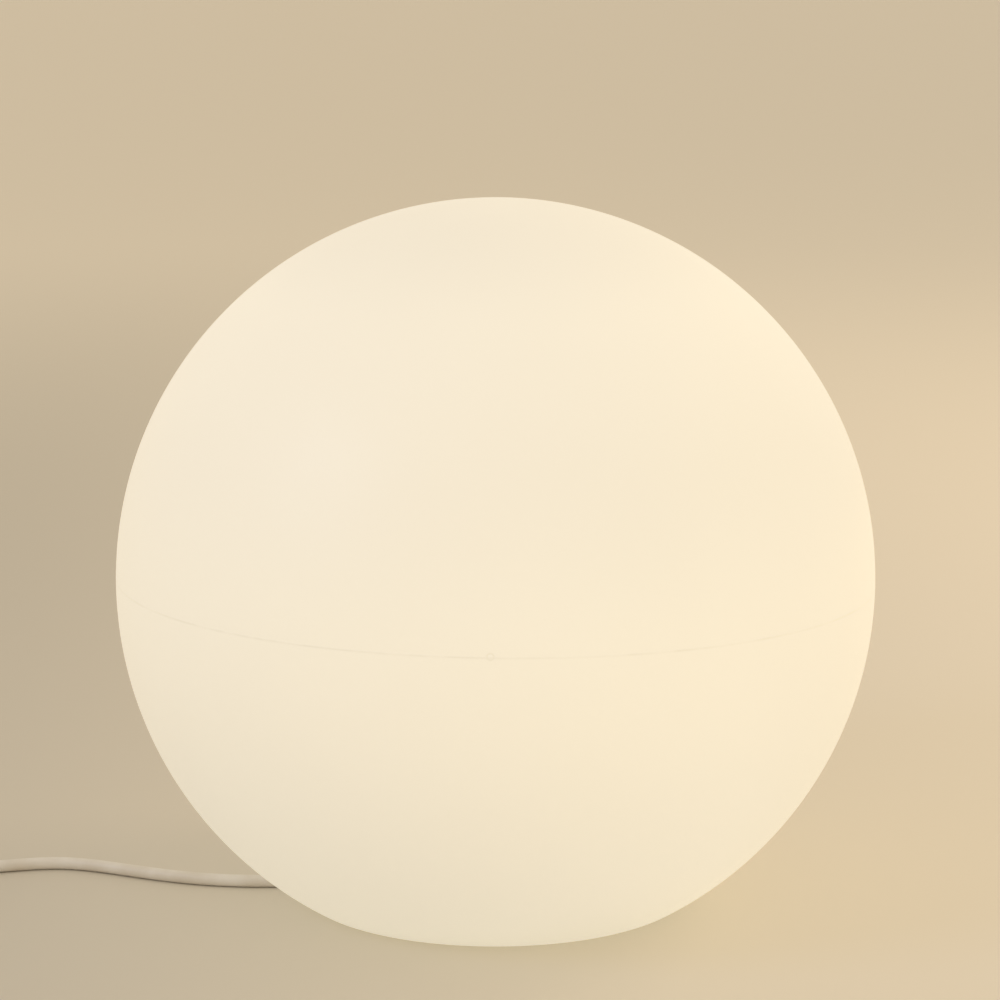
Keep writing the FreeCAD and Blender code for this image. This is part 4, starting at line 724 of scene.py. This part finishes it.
def pin_outline():
    """(distance, radius) along a pin from the plug's face, with its rounded tip."""
    outline = [(PIN_BASE, PIN_RADIUS), (PIN_BASE + PIN_STRAIGHT, PIN_RADIUS)]
    for step in range(1, 7):
        turn = step / 6 * pi / 2
        outline.append((PIN_BASE + PIN_STRAIGHT + PIN_TIP_LENGTH * sin(turn),
                        PIN_RADIUS - PIN_TIP_TAPER * (1 - cos(turn))))
    return [(distance * MM, size * MM) for distance, size in outline]


class GLOBE_LIGHT_OT_plug(bpy.types.Operator):
    bl_idname = "globe_light.plug"
    bl_label = "Plug"

    def execute(self, context):
        relief = solid("strain_relief", skin(along_plug(relief_outline(), round_ring)), 50)
        belongs(relief, "plug_plastic", "light", ("plug_strain_relief",))
        body = solid("mains_plug", skin(along_plug(plug_outline(), flat_sided_ring)), 40)
        belongs(body, "plug_plastic", "light", ("plug_body",))

        shape = bmesh.new()
        for across in (PIN_ACROSS, -PIN_ACROSS):
            rings = along_plug(pin_outline(), lambda radius: [(x + across, y) for x, y in round_ring(radius, 32)])
            skin(rings, shape)
        pins = solid("plug_contact_pins", shape)
        belongs(pins, "nickel", "light", ("plug_pins",))

        return {"FINISHED"}


# ---- globe

def turned_moulding():
    """Geometry nodes that turn an outline about Z and tilt its rows near the parting line."""
    tree, add, given, names = group_of_nodes("Turned moulding", "Outline", {
        "Segments": "Int", "Middle Height": "Float", "Parting Tilt": "Float", "Parting Reach": "Float",
        "Finish": "Material"}, "Moulding")
    rows = add("GeometryNodeAttributeDomainSize", (given["Outline"],), component="MESH")
    columns = add(MATH, (given["Segments"], 1.0), operation="ADD")
    grid = add("GeometryNodeMeshGrid", {"Vertices X": columns, "Vertices Y": rows})
    index = add("GeometryNodeInputIndex")
    row = add(MATH, (index, rows), operation="MODULO")
    within = add(MATH, (index, 0.5), operation="ADD")
    rows_before = add(MATH, (within, rows), operation="DIVIDE")
    column = add(MATH, (rows_before,), operation="FLOOR")
    sampled = add("GeometryNodeSampleIndex", {
        "Geometry": given["Outline"], "Value": add("GeometryNodeInputPosition"), "Index": row},
        data_type="FLOAT_VECTOR")
    turns = add(MATH, (column, given["Segments"]), operation="DIVIDE")
    angle = add(MATH, (turns, 2 * pi), operation="MULTIPLY")
    turned = add("ShaderNodeVectorRotate", {"Vector": sampled, "Angle": angle}, rotation_type="Z_AXIS")

    level = add("ShaderNodeSeparateXYZ", (sampled,)).outputs["Z"]
    over_middle = add(MATH, (level, given["Middle Height"]), operation="SUBTRACT")
    away = add(MATH, (over_middle,), operation="ABSOLUTE")
    full = add(MATH, (given["Parting Reach"], 0.2), operation="MULTIPLY")
    weight = add(MAP_RANGE, (away, full, given["Parting Reach"], 1.0, 0.0), **EASED)
    tilted = add("ShaderNodeVectorRotate", {
        "Vector": turned, "Center": add("ShaderNodeCombineXYZ", {"Z": given["Middle Height"]}),
        "Axis": (0, 1, 0), "Angle": add(MATH, (weight, given["Parting Tilt"]), operation="MULTIPLY")},
        rotation_type="AXIS_ANGLE")
    shaped = add("GeometryNodeSetPosition", {"Geometry": grid, "Position": tilted})
    welded = add("GeometryNodeMergeByDistance", {"Geometry": shaped, "Distance": 0.01 * MM})
    end_of_group(add, welded, given["Finish"])
    return tree, names


# rows of the moulding near its parting line, in mm from it; the ridge has the shape of a bell
SEAM_ROWS = (-2.4, -1.5, -1.0, -0.7, -0.5, -0.3, -0.15, 0, 0.15, 0.3, 0.5, 0.7, 1.0, 1.5, 2.4)
SEAM_CLEAR = 3 * MM
SEAM_SOFTNESS = 0.42 * MM
PARTING_REACH = 100 * MM
# degrees between the other rows, outside and inside
OUTER_STEP, INNER_STEP = 1.5, 3


def globe_outline(sizes, centre):
    """(radius, height) points of the wall, from the top of its outside round to the top of its inside."""
    def ball_angles(radius, floor, step):
        last = acos((floor - centre) / radius)
        count = round(degrees(last) / step)
        return [last * number / count for number in range(count + 1)]

    seam = pi / 2 - sizes.seam_rise / sizes.radius
    clear = SEAM_CLEAR / sizes.radius
    angles = [a for a in ball_angles(sizes.radius, 0, OUTER_STEP) if abs(a - seam) > clear]
    angles = sorted(angles + [seam + offset * MM / sizes.radius for offset in SEAM_ROWS])
    outside = []
    for angle in angles[:-1]:
        reach = sizes.radius + sizes.seam_height * exp(-((angle - seam) * sizes.radius / SEAM_SOFTNESS) ** 2)
        outside.append((reach * sin(angle), centre + reach * cos(angle)))
    wall, recess, shelf = sizes.wall, sizes.recess_radius, sizes.recess_height
    # (radius, height, rounding) from the ball's foot, round the recess and its ledge, to the inside
    corners = [
        (*outside.pop(), 0), (sizes.foot_radius, 0, sizes.foot_rounding), (recess, 0, 1.2 * MM),
        (recess, shelf, 0.8 * MM), (sizes.neck_radius, shelf, 0.8 * MM),
        (sizes.neck_radius, shelf + wall, 0.8 * MM), (recess + wall, shelf + wall, 1.5 * MM),
        (recess + wall, wall, 2 * MM)]
    inner = sizes.radius - wall
    inside = [(inner * sin(a), centre + inner * cos(a)) for a in reversed(ball_angles(inner, wall, INNER_STEP))]
    corners.append((*inside[0], 0))
    around = rounded(corners)[:-1]
    points = outside + [tuple(point) for point in around] + inside
    points[0] = (0, centre + sizes.radius)
    points[-1] = (0, centre + inner)
    return points


class GLOBE_LIGHT_OT_globe(bpy.types.Operator):
    """Mould the globe with its parting line, foot, recess, bayonet lips and cord way"""
    bl_idname = "globe_light.globe"
    bl_label = "Globe"

    def execute(self, context):
        sizes = context.scene.globe_shell_settings
        centre = sqrt(sizes.radius ** 2 - sizes.foot_radius ** 2)
        finish = opal_polyethylene(sizes, centre)
        outline = bpy.data.meshes.new("outline")
        outline.from_pydata([(x, 0, z) for x, z in globe_outline(sizes, centre)], [], [])
        turned = placed("outline", outline)
        tree, names = turned_moulding()
        run_group(turned, tree, names, {
            "Segments": sizes.segments, "Middle Height": centre, "Parting Tilt": sizes.seam_tilt,
            "Parting Reach": PARTING_REACH, "Finish": finish})
        if len(turned.data.polygons) < sizes.segments:
            raise RuntimeError("the globe's outline was not turned into a moulding")
        globe = solid("moulded_globe", copied(turned.data), 30)
        bpy.data.objects.remove(turned)

        for tool in recess_ribs(sizes):
            joined_solidly(globe, "UNION", tool)
        joined_solidly(globe, "UNION", cord_way_walls(sizes, centre))
        start, end, low, high = -LIP_RADIUS, -CORD_WAY_REACH, -CORD_WAY_BELOW, CORD_WAY_TOP
        cord_way = prism([(end, low), (start, low), (start, high), (end, high)], -CORD_WAY_HALF, CORD_WAY_HALF)
        joined_solidly(globe, "DIFFERENCE", cord_way)
        shaded(globe.data, 30)
        belongs(globe, "opal_plastic", "light", ("globe_shell",), finish)
        return {"FINISHED"}


LIP_RADIUS = 79 * MM
LIP_TOP = 26 * MM
LIP_HEIGHT = 4 * MM
LIP_ANGLE = 36
STOP_ANGLE = 3
RIB_FACET = 1.5
STOP_TOP = 31 * MM
KEY_RIBS, KEY_RIB_WIDTH = (5.5 * MM, -8.5 * MM), 3 * MM
CORD_WAY_TOP, CORD_WAY_BELOW = 18 * MM, 2 * MM
CORD_WAY_HALF, CORD_WAY_REACH = 5 * MM, 170 * MM
CORD_WALL_TOP, CORD_WALL_HALF = 20 * MM, 9 * MM


def recess_ribs(sizes):
    """The three bayonet lips with their stops, and the two ribs that key the carrier plate."""
    outer = sizes.recess_radius + sizes.wall / 2
    low = LIP_TOP - LIP_HEIGHT
    for middle in (0, 120, 240):
        # the lip runs one facet into its stop, so that the two overlap
        yield sector(LIP_RADIUS, outer, low, LIP_TOP, LIP_ANGLE + RIB_FACET, middle - RIB_FACET / 2,
                     round(LIP_ANGLE / RIB_FACET) + 1)
        yield sector(LIP_RADIUS, outer, low, STOP_TOP, STOP_ANGLE, middle - (LIP_ANGLE + STOP_ANGLE) / 2,
                     round(STOP_ANGLE / RIB_FACET))
    shelf = sizes.recess_height + sizes.wall / 2
    for left in KEY_RIBS:
        right = left + KEY_RIB_WIDTH
        yield prism([(left, STOP_TOP), (right, STOP_TOP), (right, shelf), (left, shelf)], LIP_RADIUS, outer)


def cord_way_walls(sizes, centre):
    """The walls round the cord way, which end inside the ball's own wall."""
    ball = sizes.radius - sizes.wall / 2
    low, high = sizes.wall / 2, CORD_WALL_TOP
    slope = [low + (high - low) * step / 8 for step in range(9)]
    end = [(-sqrt(ball ** 2 - (centre - z) ** 2), z) for z in slope]
    wall = -sizes.recess_radius - sizes.wall / 2
    return prism([(wall, low), *end, (wall, high)], -CORD_WALL_HALF, CORD_WALL_HALF)


# ---- wiring inside the cover

SHEATH_CUT = -18
# the wires' routes in mm, for the live side; the neutral ones mirror them
SUPPLY_WIRE = ((-18, 1.7, 16.5), (-13.5, 2, 16.4), (-7.5, 4.8, 13.1), (-2, 5, 13), (4.5, 5, 12.95))
LAMP_WIRE = ((13.5, 5, 13), (24, 5, 13.1), (27.5, 4.9, 22), (24, 4.5, 35), (12, 3, 43.5), (3, 1.9, 47),
             (0, 1.7, 51.5), (0, 1.7, 74))
WIRE_RADIUS = 1.1


class GLOBE_LIGHT_OT_wiring(bpy.types.Operator):
    """Run the cord's sheath through the gland and the four wires on to the lampholder"""
    bl_idname = "globe_light.wiring"
    bl_label = "Wiring inside the cover"

    def execute(self, context):
        radius = context.scene.globe_cord_settings.diameter / 2
        mouth, cut = GLAND_MOUTH[0] * MM, SHEATH_CUT * MM
        level = GLAND_MOUTH[2] * MM
        # the sheath, cut square with a soft burr and a dished filler
        outline = [(mouth, radius * 0.97), (mouth + 0.1 * MM, radius), (cut - 0.5 * MM, radius),
                   (cut - 0.1 * MM, radius * 0.97), (cut, radius * 0.88), (cut - 0.25 * MM, radius * 0.74),
                   (cut - 0.8 * MM, radius * 0.66)]
        rings = [[(x, y, level + z) for y, z in round_ring(size)] for x, size in outline]
        sheath = solid("cord_end_in_cover", skin(rings))
        belongs(sheath, "cord_grey", "light", ("cord_inner",))
        for name, route, live, neutral in (
                ("supply_wire", SUPPLY_WIRE, "supply_wire_live", "supply_wire_neutral"),
                ("lamp_wire", LAMP_WIRE, "lamp_wire_live", "lamp_wire_neutral")):
            for side, slot, node in ((1, "brown_wire", live), (-1, "blue_wire", neutral)):
                wire = smooth_tube(slot + "_of_" + name, [(x, side * y, z) for x, y, z in route], WIRE_RADIUS * MM)
                belongs(wire, slot, "light", (node,))
        return {"FINISHED"}


def smooth_tube(name, route, radius, sides=5, steps=6):
    """A round tube whose spline has a route's points, in mm, as its control points."""
    curve = bpy.data.curves.new(name, "CURVE")
    curve.dimensions = "3D"
    curve.bevel_depth = radius
    curve.bevel_resolution = sides
    curve.resolution_u = steps
    curve.use_fill_caps = True
    spline = curve.splines.new("NURBS")
    spline.points.add(len(route) - 1)
    for point, place in zip(spline.points, route):
        point.co = (*(Vector(place) * MM), 1)
    spline.order_u = 3
    spline.use_endpoint_u = True
    return placed(name, curve)


# ---- gland nut

NUT_FLATS = 15
NUT_MOUTH, NUT_END = -64, -52
NUT_MOUTH_RADIUS, NUT_CORNER_RADIUS = 5, 8.45
NUT_CONE_LENGTH = 5.5
NUT_LIP = 0.7
NUT_BORE = 3.4
NUT_SIDES, NUT_STEPS = 96, 24


def hexagon_reach(angle, flats):
    """How far a hexagon reaches from its middle in a direction, with its flats above and below."""
    from_flat = (angle - pi / 2 + pi / 6) % (pi / 3) - pi / 6
    return flats / 2 / cos(from_flat)


def softest_of(first, second, sharpness=60):
    """The smaller of two lengths, eased where they meet."""
    return (first ** -sharpness + second ** -sharpness) ** (-1 / sharpness)


class GLOBE_LIGHT_OT_gland_nut(bpy.types.Operator):
    """Turn the hexagon nut of the gland, with its cone and the lip round the cord"""
    bl_idname = "globe_light.gland_nut"
    bl_label = "Gland nut"

    def execute(self, context):
        level = GLAND_MOUTH[2]
        rings = []

        def ring(x, reach):
            angles = [2 * pi * n / NUT_SIDES for n in range(NUT_SIDES)]
            rings.append([(x * MM, reach(a) * cos(a) * MM, (level + reach(a) * sin(a)) * MM)
                          for a in angles])

        for inward, radius in ((3, NUT_BORE), (0.4, NUT_BORE + 0.05), (0.05, NUT_BORE + 0.4),
                               (0, NUT_BORE + 0.8), (0, NUT_MOUTH_RADIUS - NUT_LIP)):
            ring(NUT_MOUTH + inward, lambda angle, radius=radius: radius)
        slope = (NUT_CORNER_RADIUS - NUT_MOUTH_RADIUS) / NUT_CONE_LENGTH
        for step in range(NUT_STEPS + 1):
            inward = (step / NUT_STEPS) ** 1.4 * (NUT_END - NUT_MOUTH)
            cone = min(NUT_MOUTH_RADIUS + inward * slope, NUT_CORNER_RADIUS)
            cone -= NUT_LIP * max(0.0, 1 - inward / NUT_LIP) ** 2
            cone = min(cone, NUT_CORNER_RADIUS - max(0.0, NUT_MOUTH + inward - NUT_END + 0.5) * 0.9)
            ring(NUT_MOUTH + inward, lambda angle, cone=cone: softest_of(hexagon_reach(angle, NUT_FLATS), cone))
        nut = solid("gland_nut_hexagon", skin(rings), 28)
        belongs(nut, "grey_plastic", "light", ("gland_nut",))
        return {"FINISHED"}


# ---- screws

HEAD_OUTLINE = ((2.3, -2.2), (2.95, -2.02), (3.35, -1.6), (3.5, -1.0), (3.5, -0.25), (3.3, 0), (1.75, 0),
                (1.75, 14), (1.2, 14.5))
CROSS_LENGTH, CROSS_WIDTH, CROSS_DEPTH = 3.8, 0.8, 1.3
FIRST_SCREW = radians(45)
SCREW_SEED = 4


def spread_round():
    """Geometry nodes that set copies of a piece round the Z axis, each turned at random about its own."""
    tree, add, given, names = group_of_nodes("Spread round an axis", "Piece", {
        "Count": "Int", "Circle Radius": "Float", "First Angle": "Float", "Height": "Float", "Seed": "Int",
        "Finish": "Material"}, "Pieces")
    circle = add("GeometryNodeMeshCircle", {"Vertices": given["Count"], "Radius": given["Circle Radius"]})
    points = add("GeometryNodeTransform", {
        "Geometry": circle, "Translation": add("ShaderNodeCombineXYZ", {"Z": given["Height"]}),
        "Rotation": add("ShaderNodeCombineXYZ", {"Z": given["First Angle"]})})
    turn = add("FunctionNodeRandomValue", {0: (0, 0, 0), 1: (0, 0, pi), "Seed": given["Seed"]},
               data_type="FLOAT_VECTOR")
    copies = add("GeometryNodeInstanceOnPoints", {
        "Points": points, "Instance": given["Piece"], "Rotation": turn})
    end_of_group(add, copies, given["Finish"])
    return tree, names


def cross_head_screw(name):
    """One pan-head screw with a cross recess: its head hangs under z = 0 and its shank stands above."""
    rings = [[(x, y, z * MM) for x, y in round_ring(radius * MM, 32)] for radius, z in HEAD_OUTLINE]
    screw = solid(name, skin(rings))
    lowest = HEAD_OUTLINE[0][1]
    for long, wide in ((CROSS_LENGTH, CROSS_WIDTH), (CROSS_WIDTH, CROSS_LENGTH)):
        floor, mouth = lowest + CROSS_DEPTH, lowest - 0.5
        joined_solidly(screw, "DIFFERENCE", prism(
            [(x * long * MM, z * MM) for x, z in ((-0.5, mouth), (0.5, mouth), (0.4, floor), (-0.4, floor))],
            -wide / 2 * MM, wide / 2 * MM))
    return screw


class GLOBE_LIGHT_OT_screws(bpy.types.Operator):
    """Drive the four screws that hold the wiring cover"""
    bl_idname = "globe_light.screws"
    bl_label = "Cover screws"

    def execute(self, context):
        sizes = context.scene.globe_fitting_settings
        screws = cross_head_screw("cover_screws_cross_head")
        tree, names = spread_round()
        one = len(screws.data.polygons)
        run_group(screws, tree, names, {
            "Count": sizes.screw_count, "Circle Radius": sizes.screw_circle, "First Angle": FIRST_SCREW,
            "Height": sizes.screw_seat, "Seed": SCREW_SEED, "Finish": finish_of("zinc_steel")})
        if len(screws.data.polygons) != one * sizes.screw_count:
            raise RuntimeError("the cover screws were not spread round")
        shaded(screws.data, 35)
        belongs(screws, "zinc_steel", "light", ("cover_screws",))
        return {"FINISHED"}


# ---- soft edges

# faces that turn by less than this are one face, and edges that turn by more than this are rounded
ONE_FACE, REAL_EDGE = radians(1), radians(50)
# each moulded fitting with its body and how far its edges are rounded, in mm
SOFT_EDGES = {
    "locking_ring": ("ring", 0.6),
    "wiring_cover": ("light", 0.6),
    "carrier_plate": ("light", 0.5),
    "gland_body": ("light", 0.3),
    "gland_locknut": ("light", 0.3),
    "cord_clamp": ("light", 0.4),
    "terminal_block": ("light", 0.25),
    "lampholder_base": ("light", 0.5),
    "lampholder_sleeve": ("light", 0.4),
    "bulb_housing": ("lamp", 0.4),
}


class GLOBE_LIGHT_OT_soft_edges(bpy.types.Operator):
    """Round the edges of the moulded fittings, as a mould leaves them"""
    bl_idname = "globe_light.soft_edges"
    bl_label = "Moulded fittings"

    def execute(self, context):
        for node, (body, width) in SOFT_EDGES.items():
            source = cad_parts[node]
            shape = copied(source.data)
            bmesh.ops.remove_doubles(shape, verts=shape.verts, dist=WELD)
            bmesh.ops.dissolve_limit(shape, angle_limit=ONE_FACE, verts=shape.verts, edges=shape.edges)
            fitting = solid("moulded_" + node, shape)
            bevel = fitting.modifiers.new("Soft edges", "BEVEL")
            bevel.width = width * MM
            bevel.segments = 2
            bevel.limit_method = "ANGLE"
            bevel.angle_limit = REAL_EDGE
            bevel.use_clamp_overlap = False
            bevel.harden_normals = True
            with_modifiers_applied(fitting)
            belongs(fitting, source.material_slots[0].material.name, body, (node,))
        return {"FINISHED"}


# ---- finishes of the CAD pieces

class GLOBE_LIGHT_OT_fittings(bpy.types.Operator):
    """Give every fitting inside the globe its finish"""
    bl_idname = "globe_light.fittings"
    bl_label = "Fittings"

    def execute(self, context):
        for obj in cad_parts.values():
            if not obj.hide_render:
                obj.material_slots[0].material = finish_of(obj.material_slots[0].material.name)
        return {"FINISHED"}


# ---- panel and registration

class GLOBE_LIGHT_PT_panel(bpy.types.Panel):
    """The light's settings and the operators that build it"""
    bl_label = "Globe light"
    bl_space_type = "VIEW_3D"
    bl_region_type = "UI"
    bl_category = "Globe light"

    def draw(self, context):
        for name, kind in SETTINGS.items():
            box = self.layout.box()
            for prop in kind.__annotations__:
                box.prop(getattr(context.scene, name), prop)
        for operator in OPERATORS:
            self.layout.operator(operator.bl_idname)


OPERATORS = (
    GLOBE_LIGHT_OT_stage,
    GLOBE_LIGHT_OT_cord,
    GLOBE_LIGHT_OT_plug,
    GLOBE_LIGHT_OT_globe,
    GLOBE_LIGHT_OT_wiring,
    GLOBE_LIGHT_OT_gland_nut,
    GLOBE_LIGHT_OT_screws,
    GLOBE_LIGHT_OT_soft_edges,
    GLOBE_LIGHT_OT_fittings,
)


def register():
    for kind in (*SETTINGS.values(), *OPERATORS, GLOBE_LIGHT_PT_panel):
        bpy.utils.register_class(kind)
    for name, kind in SETTINGS.items():
        setattr(bpy.types.Scene, name, bpy.props.PointerProperty(type=kind))


def unregister():
    for name in SETTINGS:
        delattr(bpy.types.Scene, name)
    for kind in (GLOBE_LIGHT_PT_panel, *reversed(OPERATORS), *SETTINGS.values()):
        bpy.utils.unregister_class(kind)


def main():
    """Build the whole light."""
    register()
    bpy.ops.globe_light.stage()
    bpy.ops.globe_light.cord()
    bpy.ops.globe_light.plug()
    bpy.ops.globe_light.globe()
    bpy.ops.globe_light.wiring()
    bpy.ops.globe_light.gland_nut()
    bpy.ops.globe_light.screws()
    bpy.ops.globe_light.soft_edges()
    bpy.ops.globe_light.fittings()


if __name__ == "__main__":
    main()
